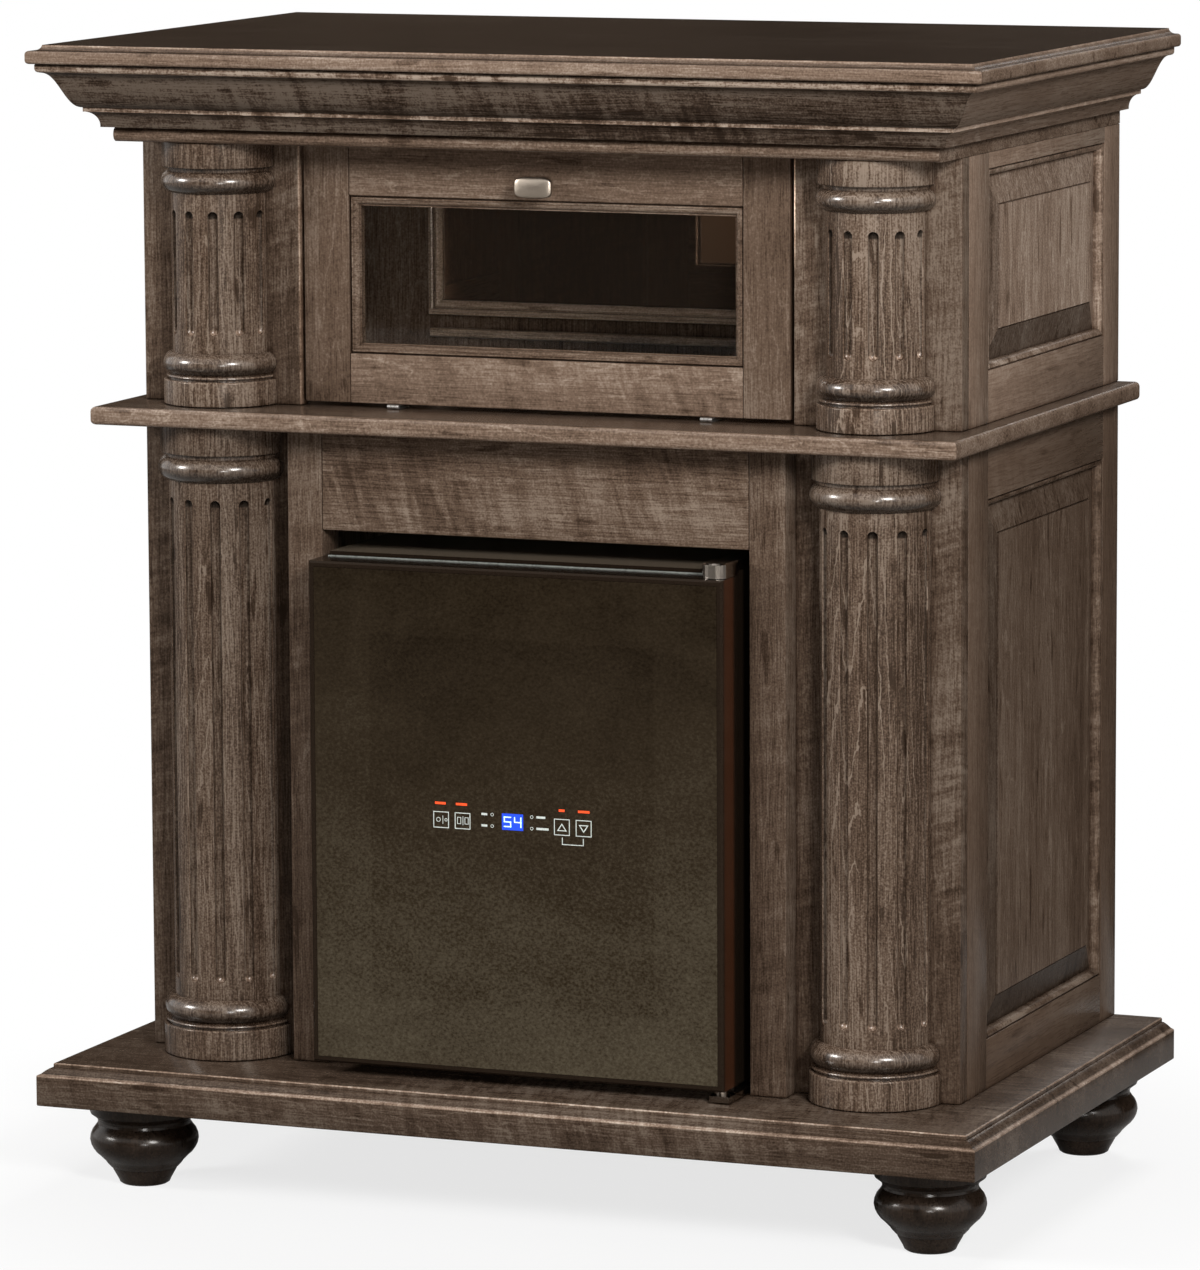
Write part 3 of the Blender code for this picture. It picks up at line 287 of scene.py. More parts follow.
def grain_group():
    """Figured maple: fibres, streaks, pores, curl and pale growth lines, with the grain along X."""
    tree = bpy.data.node_groups.new("maple grain", "ShaderNodeTree")
    tree.interface.new_socket("Vector", in_out="INPUT", socket_type="NodeSocketVector")
    for name in ("Depth", "Figure", "Curl", "Lines"):
        tree.interface.new_socket(name, in_out="INPUT", socket_type="NodeSocketFloat")
    for name in ("Tone", "Roughness", "Height"):
        tree.interface.new_socket(name, in_out="OUTPUT", socket_type="NodeSocketFloat")
    given = tree.nodes.new("NodeGroupInput").outputs
    place = given["Vector"]
    drift = vector(tree, "SUBTRACT", noise(tree, place, (2.0, 7, 7), out="Color"), (0.5, 0.5, 0.5))
    drift = vector(tree, "MULTIPLY", drift, (0, 0.014, 0.014))
    flow = vector(tree, "ADD", place, drift)
    fibre = noise(tree, flow, (26, 600, 600), 2, 0.6)
    hair = noise(tree, flow, (10, 260, 260), 2, 0.6)
    streak = noise(tree, flow, (2.0, 75, 75), 3, 0.6)
    band = noise(tree, flow, (1.0, 20, 20), 2, 0.5)
    pore = span(tree, noise(tree, flow, (55, 900, 900), 1, 0.5), 0.6, 0.7)
    speck = noise(tree, place, (480, 480, 480), 1, 0.5)
    fleck = span(tree, noise(tree, flow, (16, 75, 75), 1, 0.5), 0.67, 0.74)
    level = given["Depth"]
    for waver, reach in ((noise(tree, place, (3.0, 22, 22), 2, 0.5), 0.024),
                         (noise(tree, place, (60, 150, 150), 2, 0.6), 0.0026)):
        level = swing(tree, waver, reach, level)
    layer = calc(tree, "FRACT", calc(tree, "DIVIDE", level, GROWTH_LAYER))
    layer = calc(tree, "ABSOLUTE", calc(tree, "SUBTRACT", layer, 0.5))
    faint = span(tree, noise(tree, flow, (3, 30, 30), 2), 0.36, 0.54)
    line = times(tree, span(tree, layer, 0.42, 0.485, smooth=True), faint)
    at = apart(tree, place)
    lean = calc(tree, "MULTIPLY_ADD", at["Z"], 0.3, calc(tree, "MULTIPLY_ADD", at["Y"], 0.22, at["X"]))
    slant = add(tree, "CombineXYZ", X=lean, Y=at["Y"], Z=at["Z"]).outputs["Vector"]
    ripple = calc(tree, "ADD", noise(tree, slant, (38, 8, 8), 2, 0.5, 0.6),
                  noise(tree, slant, (150, 30, 30), 2, 0.5, 0.4))
    where = span(tree, noise(tree, place, (4, 6, 6), 1), 0.36, 0.64, 0.2, 1.0)
    curl = times(tree, calc(tree, "SUBTRACT", ripple, 1.0), where, given["Curl"])
    tone = 0.5
    for part, weight in ((fibre, 0.75), (hair, 0.35), (streak, 0.4), (band, 0.6), (speck, 0.75),
                         (noise(tree, place, (3.5, 6, 6), 2), 0.7)):
        tone = swing(tree, part, weight, tone)
    for part, weight in ((curl, 1.3), (pore, -0.22), (fleck, -0.32)):
        tone = calc(tree, "MULTIPLY_ADD", part, weight, tone)
    tone = swing(tree, tone, given["Figure"], 0.5)
    tone = calc(tree, "MULTIPLY_ADD", times(tree, line, given["Lines"]), 0.5, tone, clamp=True)
    rough = span(tree, fibre, 0.3, 0.7, 0.24, 0.34)
    height = calc(tree, "MULTIPLY_ADD", pore, -0.7, calc(tree, "ADD", fibre, hair))
    feed(tree, tree.nodes.new("NodeGroupOutput"), Tone=tone, Roughness=rough, Height=height)
    return tree


GRAIN = grain_group()
TURNS = {"X": (0, 0, 0), "Y": (0, 0, radians(-90)), "Z": (0, radians(90), 0)}
CASE_TONES = ((0.043, 0.0262, 0.0168), (0.116, 0.0765, 0.053), (0.238, 0.181, 0.138))
# LIT_TONES are pale tones that paint light onto the mirror frame and its strip inside the cabinet.
LIT_TONES = ((0.2, 0.135, 0.092), (0.46, 0.34, 0.25), (0.74, 0.6, 0.48))
DARK_TONES = ((0.005, 0.0028, 0.0017), (0.013, 0.0078, 0.0049), (0.032, 0.021, 0.0148))
wood_count = 0


def grain_at(tree, along):
    """Coordinates turned so that the grain runs along an axis, and moved so that no two boards match."""
    shift = (0.37 * wood_count % 3.1, 0.173 * wood_count % 0.9, 0.119 * wood_count % 0.7)
    turned = add(tree, "Mapping", Vector=here(tree), Rotation=TURNS[along], Location=shift)
    return turned.outputs["Vector"]


def paler(shade):
    """Where light is painted on, the wood turns paler and a little milky, as under a sheen."""
    return (shade, shade ** 1.07, shade ** 1.14) if shade > 1 else (shade, shade, shade)


def shade_faces(tree, colour, under, over, front, turn):
    """Paints shade or light onto the faces that look down, up and forward."""
    way = facing(tree)
    return multiply(tree, colour, times(tree, span(tree, way["Z"], -turn, -0.03, under, 1.0),
                                        span(tree, way["Z"], 0.03, turn, 1.0, over),
                                        span(tree, way["Y"], -0.15, -0.03, front, 1.0)))


def paint_flute_light(tree, colour, at, x, y, radius, start, end):
    """A column's colour with painted shade in its flutes' heads and walls and painted highlights on their arrises and
    feet, and the mask of their feet.
    """
    off = add(tree, "CombineXYZ", X=calc(tree, "SUBTRACT", at["X"], x), Y=calc(tree, "SUBTRACT", at["Y"], y))
    deep = calc(tree, "SUBTRACT", radius, vector(tree, "LENGTH", off.outputs["Vector"]))
    inside = span(tree, deep, 0.0008, 0.003)
    wall = within(tree, deep, (0.0003, 0.001), (0.0026, 0.0042))
    arris = within(tree, deep, (0.0001, 0.0003), (0.0008, 0.0013))
    head = times(tree, inside, span(tree, at["Z"], end - 0.0085, end - 0.0068))
    foot = times(tree, inside, span(tree, at["Z"], start + 0.0045, start + 0.007, 1.0, 0.0))
    # Painted shade in the flutes' walls and heads, painted highlights on their arrises and feet.
    for mask, shade in ((wall, 0.66), (head, 0.2), (arris, 1.8), (foot, 2.2)):
        colour = multiply(tree, colour, span(tree, mask, 0, 1, 1.0, shade))
    return colour, foot


def maple(name, along, tones=CASE_TONES, curl=0.5, lines=0.3, shade=1.0, figure=1.0, specular=0.12, gloss=1.0,
          bump=0.1, face="Y", under=1.0, over=1.0, front=1.0, crisp=True, bands=None, edge=None, flutes=None,
          shine=None):
    """Stained maple with satin lacquer, and painted shade in its nooks.

    The growth layers lie along the face's axis. under, over and front paint shade or light onto the faces that look
    down, up and forward. bands are (height, shade) stops of painted light and shade along a moulding. edge is a
    painted
    highlight along an arris: its place across, its reach, its shade and the heights between which it sets in. flutes
    are a column's axis and radius and the heights between which its flutes run: their heads and walls get painted
    shade and their arrises and feet painted highlights. shine is the weight of the lacquer's gloss, on the whole piece
    or between pairs of heights."""
    global wood_count
    wood_count += 1
    made, tree, shader = finish_start(name, Specular_IOR_Level=specular, Specular_Tint=LACQUER_TINT)
    at = apart(tree, here(tree))
    depth = calc(tree, "MULTIPLY_ADD", at[along], 0.03, at[face])
    grain = add(tree, "Group", {"node_tree": GRAIN}, Vector=grain_at(tree, along), Depth=depth, Figure=figure,
                Curl=curl, Lines=lines)
    lift = paler(shade)
    dark, middle, light = ([c * k for c, k in zip(tone, lift)] for tone in tones)
    colour = ramp(tree, grain.outputs["Tone"], (0.12, dark), (0.5, middle), (0.9, light))
    # Ambient occlusion darkens the nooks: painted shade.
    nook = add(tree, "AmbientOcclusion", {"samples": 6}, Distance=NOOK_REACH).outputs["AO"]
    colour = multiply(tree, colour, blend(tree, span(tree, nook, 0.3, 0.85), NOOK_SHADE, (1, 1, 1)))
    # Painted shade or light on faces by the way they look.
    if (under, over, front) != (1.0, 1.0, 1.0):
        colour = shade_faces(tree, colour, under, over, front, 0.15 if crisp else 0.45)
    # Painted light and shade along the height.
    if bands:
        low, high = bands[0][0], bands[-1][0]
        stops = (((z - low) / (high - low), paler(k)) for z, k in bands)
        colour = multiply(tree, colour, ramp(tree, span(tree, at["Z"], low, high), *stops))
    # Painted highlight along an arris.
    if edge:
        place, reach, arris_glint, low, high = edge
        off = calc(tree, "ABSOLUTE", calc(tree, "SUBTRACT", at["X"], place))
        glint_mask = times(tree, span(tree, off, reach * 0.4, reach, 1.0, 0.0), span(tree, at["Z"], low, high))
        colour = multiply(tree, colour, span(tree, glint_mask, 0, 1, 1.0, arris_glint))
    coated = 0.0
    # Painted shadow and highlights in the flutes; the lacquer's coat goes on their feet.
    if flutes:
        colour, coated = paint_flute_light(tree, colour, at, *flutes)
    if shine:
        weight, *levels = shine
        for low, high in levels:
            level = within(tree, at["Z"], (low - COAT_FADE, low + COAT_FADE), (high - COAT_FADE, high + COAT_FADE))
            coated = calc(tree, "MAXIMUM", coated, level)
        feed(tree, shader, Coat_Weight=times(tree, coated, weight) if levels else weight, Coat_Roughness=COAT_ROUGH,
             Coat_IOR=COAT_IOR)
    relief = add(tree, "Bump", Strength=bump, Distance=0.0004, Height=grain.outputs["Height"])
    feed(tree, shader, Base_Color=colour, Roughness=times(tree, grain.outputs["Roughness"], gloss),
         Normal=relief.outputs["Normal"])
    return made


# ------------ shaping helpers
def settle(piece):
    """Leaves edit mode with the piece's place in its mesh."""
    if bpy.context.mode != "OBJECT":
        bpy.ops.object.mode_set(mode="OBJECT")
    bpy.ops.object.select_all(action="DESELECT")
    piece.select_set(True)
    bpy.context.view_layer.objects.active = piece
    bpy.ops.object.transform_apply(location=True, rotation=True, scale=True)
    return piece


def smooth(piece, degrees=32):
    settle(piece)
    bpy.ops.object.shade_smooth_by_angle(angle=radians(degrees))
    return piece


def choose(test, mode="FACE"):
    """In edit mode, selects the faces, by middle and normal, the edges, by ends, or the points that pass the test."""
    bpy.ops.mesh.select_mode(type=mode)
    bpy.ops.mesh.select_all(action="DESELECT")
    mesh = bmesh.from_edit_mesh(bpy.context.object.data)
    for item in {"FACE": mesh.faces, "EDGE": mesh.edges, "VERT": mesh.verts}[mode]:
        if mode == "FACE":
            item.select_set(test(item.calc_center_median(), item.normal))
        else:
            item.select_set(test(*(v.co for v in item.verts)) if mode == "EDGE" else test(item.co))
    mesh.select_flush_mode()
    bmesh.update_edit_mesh(bpy.context.object.data)


def edit_all():
    """Enters edit mode with everything selected."""
    bpy.ops.object.mode_set(mode="EDIT")
    bpy.ops.mesh.select_all(action="SELECT")


def pull(run):
    """Extrudes what is selected along a vector."""
    bpy.ops.mesh.extrude_region_move(TRANSFORM_OT_translate={"value": run})


def slab(centre, size):
    """A box in edit mode, all selected."""
    bpy.ops.mesh.primitive_cube_add(size=1, location=centre, scale=size)
    piece = settle(bpy.context.object)
    edit_all()
    return piece


def draw(name, points):
    """A line drawn point by point; the piece stays in edit mode."""
    bpy.ops.mesh.primitive_plane_add(size=0.01, location=points[0])
    piece = bpy.context.object
    piece.name = name
    bpy.ops.object.transform_apply(location=True)
    bpy.ops.object.mode_set(mode="EDIT")
    bpy.ops.mesh.select_mode(type="VERT")
    bpy.ops.mesh.select_all(action="SELECT")
    bpy.ops.mesh.merge(type="CENTER")
    for one, two in zip(points, points[1:]):
        bpy.ops.mesh.extrude_vertices_move(TRANSFORM_OT_translate={"value": Vector(two) - Vector(one)})
    bpy.ops.mesh.select_all(action="SELECT")
    return piece


def clean():
    """Merges doubles and turns every face outwards."""
    bpy.ops.mesh.select_mode(type="VERT")
    bpy.ops.mesh.select_all(action="SELECT")
    bpy.ops.mesh.remove_doubles(threshold=0.00001)
    bpy.ops.mesh.normals_make_consistent(inside=False)


def arc(u, v, ru, rv, start, end, steps):
    """Points on an ellipse about (u, v) between two angles in degrees."""
    angles = [radians(start + (end - start) * i / steps) for i in range(steps + 1)]
    return [(u + ru * cos(a), v + rv * sin(a)) for a in angles]


def hollow(u, v, ru, rv, step, end):
    """Points on a quarter ellipse that leaves (u, v) along u and turns to v, every step in degrees."""
    return [(u + ru * sin(radians(step * i)), v + rv * (1 - cos(radians(step * i)))) for i in range(1, end)]


def strip(name, profile, run):
    """A closed profile pulled along a vector; the piece stays in edit mode."""
    piece = draw(name, profile)
    bpy.ops.mesh.edge_face_add()
    pull(run)
    clean()
    return piece


def mitred(name, profile, run, *cuts):
    """A length of moulding, sawn at each cut: a point and the way to the side that is kept."""
    piece = strip(name, profile, run)
    for at, keep in cuts:
        bpy.ops.mesh.select_all(action="SELECT")
        bpy.ops.mesh.bisect(plane_co=at, plane_no=keep, use_fill=True, clear_inner=True)
    clean()
    return settle(piece)


def put(piece, material, *nodes, body="case", slot="case_wood"):
    """Gives the piece its finish, its body and the CAD nodes that it stands for."""
    piece.data.materials.clear()
    piece.data.materials.append(material)
    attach(piece, body)
    if nodes:
        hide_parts(*nodes)
    bpy.ops.object.select_all(action="DESELECT")


def coat(material, *nodes):
    """A better finish on CAD nodes that keep their shape."""
    for node in nodes:
        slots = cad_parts[node].data.materials
        slots.clear()
        slots.append(material)


def gather(name, bits):
    """Joins small pieces into one."""
    bpy.ops.object.select_all(action="DESELECT")
    for bit in bits:
        bit.select_set(True)
    bpy.context.view_layer.objects.active = bits[0]
    if len(bits) > 1:
        bpy.ops.object.join()
    bits[0].name = name
    return settle(bits[0])


BOARD_EASE, FRAME_EASE = 0.0014, 0.0008


def eased(low, high, ease, steps):
    """A board between two corners with rounded edges."""
    piece = slab((low + high) / 2, high - low)
    bpy.ops.mesh.bevel(offset=ease, segments=steps, affect="EDGES")
    return settle(piece)


# ------------ turned columns and feet
LOWER = dict(shaft=0.0563, torus=0.0664, plinth=0.0675, cap=0.0643, plinth_h=0.031, torus_h=0.0255, cap_h=0.03)
UPPER = dict(shaft=0.0502, torus=0.06, plinth=0.0595, cap=0.059, plinth_h=0.0257, torus_h=0.0233, cap_h=0.0266)
QUIRK_H, QUIRK_IN = 0.0045, 0.005
FLUTES, FLUTE_R, FLUTE_END, FLUTE_STEP = 6, 0.0055, 0.017, radians(30.5)


def column_edge(height, shaft, torus, plinth, cap, plinth_h, torus_h, cap_h):
    """(radius, height) points of a column from its foot to its head."""
    bulge = torus_h / 2
    turn = 90 * acos((shaft - torus + bulge) / bulge) / (pi / 2)
    low = plinth_h + QUIRK_H + bulge
    high = height - cap_h - QUIRK_H / 2 - bulge
    edge = [(0, 0), (plinth - 0.001, 0), (plinth, 0.001)]
    edge += arc(plinth - 0.002, plinth_h - 0.002, 0.002, 0.002, 0, 90, 4)
    edge += [(plinth - QUIRK_IN, plinth_h), (plinth - QUIRK_IN, plinth_h + QUIRK_H / 3)]
    edge += arc(plinth - QUIRK_IN / 2 - 0.0012, plinth_h + QUIRK_H * 2 / 3, 0.0012, QUIRK_H / 3, -90, 90, 6)
    edge += arc(torus - bulge, low, bulge, bulge, -64, turn, 14)
    edge += arc(torus - bulge, high, bulge, bulge, -turn, 64, 14)
    edge += [(cap - QUIRK_IN, height - cap_h)]
    edge += arc(cap - 0.0016, height - cap_h + 0.0016, 0.0016, 0.0016, -90, 0, 4)
    edge += [(cap, height - 0.001), (cap - 0.001, height), (0, height)]
    return edge, low + bulge + FLUTE_END, high - bulge - FLUTE_END


def flute_cutter(at, low, high):
    """A round-ended bar."""
    middle = (*at, low + FLUTE_R)
    bpy.ops.mesh.primitive_uv_sphere_add(segments=32, ring_count=16, radius=FLUTE_R, location=middle)
    bar = settle(bpy.context.object)
    bpy.ops.object.mode_set(mode="EDIT")
    choose(lambda centre, normal: centre.z > low + FLUTE_R)
    pull((0, 0, high - low - 2 * FLUTE_R))
    return settle(bar)


def column_tori_shade(node, torus_h, plinth_h, cap_h, **_):
    """(height, shade) stops of painted shade that leave both tori of a column darker."""
    low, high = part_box(node)
    stops = [(low.z, 1.0)]
    for start in (low.z + plinth_h + QUIRK_H, high.z - cap_h - QUIRK_H / 2 - torus_h):
        stops += [(start, 1.0), (start + 0.001, 0.8), (start + torus_h - 0.001, 0.8), (start + torus_h, 1.0)]
    return (*stops, (high.z, 1.0))


def turned_column(name, node, sizes):
    """A half column, turned, split at the back and cut with six flutes."""
    low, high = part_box(node)
    x, back, foot = (low.x + high.x) / 2, high.y, low.z
    edge, start, end = column_edge(high.z - low.z, **sizes)
    piece = draw(name, [(x + r, back, foot + z) for r, z in edge])
    bpy.ops.mesh.spin(steps=110, angle=pi, center=(x, back, 0), axis=(0, 0, 1))
    clean()
    bpy.ops.mesh.select_mode(type="EDGE")
    bpy.ops.mesh.select_all(action="DESELECT")
    bpy.ops.mesh.select_non_manifold()
    bpy.ops.mesh.edge_face_add()
    clean()
    settle(piece)
    reach = sizes["shaft"] + 0.0005
    for i in range(FLUTES):
        turn = FLUTE_STEP * (i - (FLUTES - 1) / 2)
        bar = flute_cutter((x + reach * sin(turn), back - reach * cos(turn)), foot + start, foot + end)
        cut = piece.modifiers.new("flute", "BOOLEAN")
        cut.operation = "DIFFERENCE"
        cut.object = bar
        settle(piece)
        bpy.ops.object.modifier_apply(modifier="flute")
        bpy.data.objects.remove(bar)
    return smooth(piece, 28)


FOOT_TURNING = (
    (0.0234, 0), (0.0256, 0.0015), (0.0272, 0.0051), (0.0325, 0.0145), (0.0334, 0.0171), (0.0348, 0.0175),
    (0.0384, 0.0214), (0.0409, 0.025), (0.0417, 0.0255), (0.0456, 0.0295), (0.0495, 0.033), (0.0525, 0.037),
    (0.0545, 0.041), (0.0556, 0.046), (0.055, 0.0508), (0.0531, 0.0555), (0.05, 0.0595), (0.0478, 0.0626),
    (0.0473, 0.0651), (0.0481, 0.068), (0.0506, 0.0705), (0.0548, 0.0736), (0.0556, 0.076), (0.0556, 0.0905))


def bun_foot(name, node):
    low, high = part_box(node)
    x, y = (low.x + high.x) / 2, (low.y + high.y) / 2
    edge = [(0, 0), *FOOT_TURNING, (0, FOOT_TURNING[-1][1])]
    piece = draw(name, [(x + r, y, z) for r, z in edge])
    bpy.ops.mesh.spin(steps=96, angle=2 * pi, center=(x, y, 0), axis=(0, 0, 1))
    clean()
    return smooth(piece, 24)


def alike(make, nodes, *sizes):
    """A turning made for the first node and copied to the others' places, each copy with its own mesh."""
    pieces = [make(f"turned_{nodes[0]}", nodes[0], *sizes)]
    for node in nodes[1:]:
        twin = pieces[0].copy()
        twin.data = pieces[0].data.copy()
        twin.name = f"turned_{node}"
        twin.location = (sum(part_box(node), Vector()) - sum(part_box(nodes[0]), Vector())) / 2
        scene.collection.objects.link(twin)
        pieces.append(settle(twin))
    return zip(nodes, pieces)


for order, sizes, shade in (("lower", LOWER, 0.78), ("upper", UPPER, 0.95)):
    pair = alike(turned_column, (f"column_{order}_left", f"column_{order}_right"), sizes)
    # The right columns get more growth lines and are made lighter than the left ones.
    for (node, piece), (lines, lift) in zip(pair, ((0.8, 1.0), (1.5, 1.15))):
        low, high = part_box(node)
        _, start, end = column_edge(high.z - low.z, **sizes)
        flutes = (low.x + high.x) / 2, high.y, sizes["shaft"], low.z + start, low.z + end
        tori = [(low.z + sizes["plinth_h"], low.z + sizes["plinth_h"] + sizes["torus_h"]),
                (high.z - sizes["cap_h"] - sizes["torus_h"], high.z - sizes["cap_h"])]
        # Painted shade on the tori and on faces that look down, painted light on faces that look up, and painted
        # shadow and highlights in the flutes.
        put(piece, maple(f"maple {node}", "Z", curl=0.15, lines=lines, shade=shade * lift, figure=1.5, specular=0.22,
                         gloss=0.9, shine=(0.9, *tori), under=0.3, over=1.3, crisp=False,
                         bands=column_tori_shade(node, **sizes), flutes=flutes), node, slot="column_wood")
for node, piece in alike(bun_foot, ("foot_front_left", "foot_front_right", "foot_back_left", "foot_back_right")):
    put(piece, maple(f"dark maple {node}", "Z", DARK_TONES, 0.2, specular=0.15, gloss=1.05, bump=0.03, shine=(0.45,)),
        node, slot="foot_wood")


# ------------ boards and mouldings
def nose(radius, low, high, steps=6):
    """(inset, height) points of an edge with both corners rounded."""
    corner = [(radius * (1 - sin(a)), radius * (1 - cos(a))) for a in (pi / 2 * i / steps for i in range(steps + 1))]
    return [(i, low + h) for i, h in corner] + [(i, high - h) for i, h in reversed(corner)]


def moulded_board(name, node, edge):
    """A board grown upwards from its underside, step by step, along (inset, height) points of its edge."""
    low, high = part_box(node)
    side, front, back = high.x, low.y, high.y
    first, foot = edge[0][0], low.z - edge[0][1]
    wide, deep = side - first, back - front - first
    bpy.ops.mesh.primitive_plane_add(size=1, location=(0, back - deep / 2, low.z))
    piece = bpy.context.object
    piece.name = name
    piece.scale = (2 * wide, deep, 1)
    settle(piece)
    edit_all()
    for (i, h), (j, k) in zip(edge, edge[1:]):
        pull((0, 0, k - h))
        grow = ((side - j) / (side - i), (back - front - j) / (back - front - i), 1)
        bpy.ops.transform.resize(value=grow, center_override=(0, back, foot + k))
    clean()
    return smooth(piece, 30)


def crown_edge():
    """(out, up) points of the crown moulding, from its back round to its head."""
    edge = [(-0.022, 0.0003), (0.0095, 0.0003)]
    edge += arc(0.0225, 0.0015, -0.013, 0.0148, 0, 90, 12)
    ogee = (0.0225, 0.0205)
    for i in range(29):
        t = i / 28
        sweep = t ** 3 * (6 * t * t - 15 * t + 10)
        edge.append((ogee[0] + 0.0315 * t, ogee[1] + 0.036 * (0.12 * t + 0.88 * sweep)))
    edge += arc(0.054, 0.0605, 0.004, 0.004, -60, 0, 5)
    return edge + [(0.058, 0.0644), (0.0574, 0.065), (-0.022, 0.065)]


CROWN_X, CROWN_Y, CROWN_Z, CROWN_SPARE, MITRE_GAP = 0.438, -0.242, 1.081, 0.6, 0.0002
# Painted light and shade along the crown's height: dark ogee and cove, light fillets, dark lines between them.
CROWN_LIGHT_AND_SHADE = ((1.081, 0.4), (1.0835, 0.42), (1.0955, 0.72), (1.0965, 0.4), (1.0973, 1.75), (1.101, 1.75),
               (1.1018, 0.34), (1.11, 0.46), (1.129, 0.62), (1.1362, 0.48), (1.1372, 0.34), (1.1384, 1.6),
               (1.143, 1.75), (1.144, 0.5), (1.146, 0.34))


def crown_front(name):
    profile = [(-CROWN_SPARE, CROWN_Y - out, CROWN_Z + up) for out, up in crown_edge()]
    cuts = [((hand * (CROWN_X - MITRE_GAP), CROWN_Y, 0), (-hand, -1, 0)) for hand in (-1, 1)]
    return smooth(mitred(name, profile, (2 * CROWN_SPARE, 0, 0), *cuts), 25)


def crown_side(name, node, hand):
    start, back = -0.5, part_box(node)[1].y
    profile = [(hand * (CROWN_X + out), start, CROWN_Z + up) for out, up in crown_edge()]
    cut = (hand * CROWN_X, CROWN_Y + MITRE_GAP, 0), (hand, 1, 0)
    return smooth(mitred(name, profile, (0, back - start, 0), cut), 25)


def soffit(name, node):
    """The board over the columns, whose rounded front edge is the lower band of the cornice."""
    low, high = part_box(node)
    notch_x, notch_y, slack = 0.416, 0.3069, 1e-6
    edge = nose(0.007, low.z, high.z)
    half = [(high.x, low.y + edge[0][0]), (high.x, high.y), (notch_x, high.y), (notch_x, notch_y)]
    piece = draw(name, [(x, y, low.z) for x, y in half] + [(-x, y, low.z) for x, y in reversed(half)])
    bpy.ops.mesh.edge_face_add()
    for (i, h), (j, k) in zip(edge, edge[1:]):
        pull((0, 0, k - h))
        choose(lambda co: co.y < 0 and co.z > k - slack, "VERT")
        bpy.ops.transform.translate(value=(0, j - i, 0))
        choose(lambda middle, normal: middle.z > k - slack)
    clean()
    return smooth(piece, 30)


base_edge = [(0.0015, 0.0003), (0.0005, 0.0007), (0, 0.0018), (0, 0.031), (0.0004, 0.032), (0.0015, 0.0325)]
base_edge += [(0.0036, 0.0334), (0.0068, 0.0361), (0.0098, 0.038), (0.012, 0.039), (0.0132, 0.039)]
base_edge += [(0.0132, 0.042), (0.0136, 0.043), (0.0147, 0.0435)]
# The base board's bands paint shade on its front, bevel and top and bright glints along its two arrises.
put(moulded_board("moulded_base_board", "base_board", base_edge),
    maple("maple base board", "X", curl=0.6, lines=0.4, specular=0.22, gloss=0.75,
          shine=(0.3, (0.121, 0.1234), (0.1326, 0.1336)),
          bands=((0.0905, 0.36), (0.0925, 0.56), (0.1205, 0.62), (0.1216, 2.8), (0.1232, 2.6), (0.1242, 0.6),
                 (0.129, 0.7), (0.1322, 0.8), (0.133, 3.0), (0.1337, 2.4), (0.134, 0.66))),
    "base_board", slot="board_wood")
# The shelf's bands paint light on its nose and a glint along its top arris.
put(moulded_board("moulded_waist_shelf", "waist_shelf", nose(0.005, 0.0003, 0.019)),
    maple("maple waist shelf", "X", curl=0.3, figure=0.85, specular=0.22, gloss=0.8, shine=(0.7, (0.796, 0.7994)),
          bands=((0.7813, 0.9), (0.7835, 1.55), (0.796, 1.7), (0.7985, 2.2), (0.7997, 1.6), (0.8, 0.82))),
    "waist_shelf")
top_edge = nose(0.0035, 0.0003, 0.0135) + [(0.0055, 0.0135)]
top_edge += hollow(0.0055, 0.0135, 0.0075, 0.0055, 9, 11)
# The top board's bands paint light on its nose and shade on its top.
put(moulded_board("moulded_top_board", "top_board", top_edge),
    maple("maple top board", "X", curl=0.3, figure=0.8, specular=0.04, gloss=0.6, face="Z",
          shine=(0.4, (1.1472, 1.159), (1.1604, 1.164)),
          bands=((1.146, 0.5), (1.1478, 1.7), (1.157, 1.85), (1.1588, 2.2), (1.1594, 0.8), (1.1602, 1.0),
                 (1.1628, 1.6), (1.164, 2.8), (1.1648, 2.8), (1.165, 0.24))),
    "top_board", slot="board_wood")
put(soffit("rounded_soffit_board", "soffit_board"), maple("maple band", "X", curl=0.3, shade=1.3), "soffit_board")
put(crown_front("moulded_crown_front"),
    maple("maple crown front", "X", curl=0.6, lines=0.6, figure=1.7, shade=0.92, bands=CROWN_LIGHT_AND_SHADE), "crown_front")
# The crown's sides are painted lighter than its front, with softer painted bands.
for side, hand in (("left", -1), ("right", 1)):
    put(crown_side(f"moulded_crown_{side}", f"crown_{side}", hand),
        maple(f"maple crown {side}", "Y", curl=0.2, shade=2.1, figure=0.6, specular=0.2, face="X",
              bands=[(z, k ** 0.6) for z, k in CROWN_LIGHT_AND_SHADE]), f"crown_{side}")

ARRIS = 0.0022
# The shade column sets each board's tone and also paints shade: the lower left pilaster is darker where the column
# shades it. The last column is a painted highlight along the inner arris of the upper pilasters: its shade and the
# heights between which it shows.
EASED_BOARDS = (
    ("pilaster_lower_left", "Z", 0.75, 0.62, None), ("pilaster_lower_right", "Z", 0.75, 0.8, None),
    ("pilaster_upper_left", "Z", 0.75, 0.8, (2.6, 0.8, 0.801)),
    ("pilaster_upper_right", "Z", 0.75, 0.9, (9.0, 0.95, 1.03)),
    ("face_stile_left", "Z", 0.4, 0.8, None), ("face_stile_right", "Z", 0.4, 0.85, None),
    ("face_rail", "X", 0.7, 0.97, None), ("door_stile_left", "Z", 0.3, 1.0, None),
    ("door_stile_right", "Z", 0.3, 1.05, None), ("door_rail_bottom", "X", 0.5, 1.5, None),
    ("door_rail_top", "X", 0.4, 1.3, None))
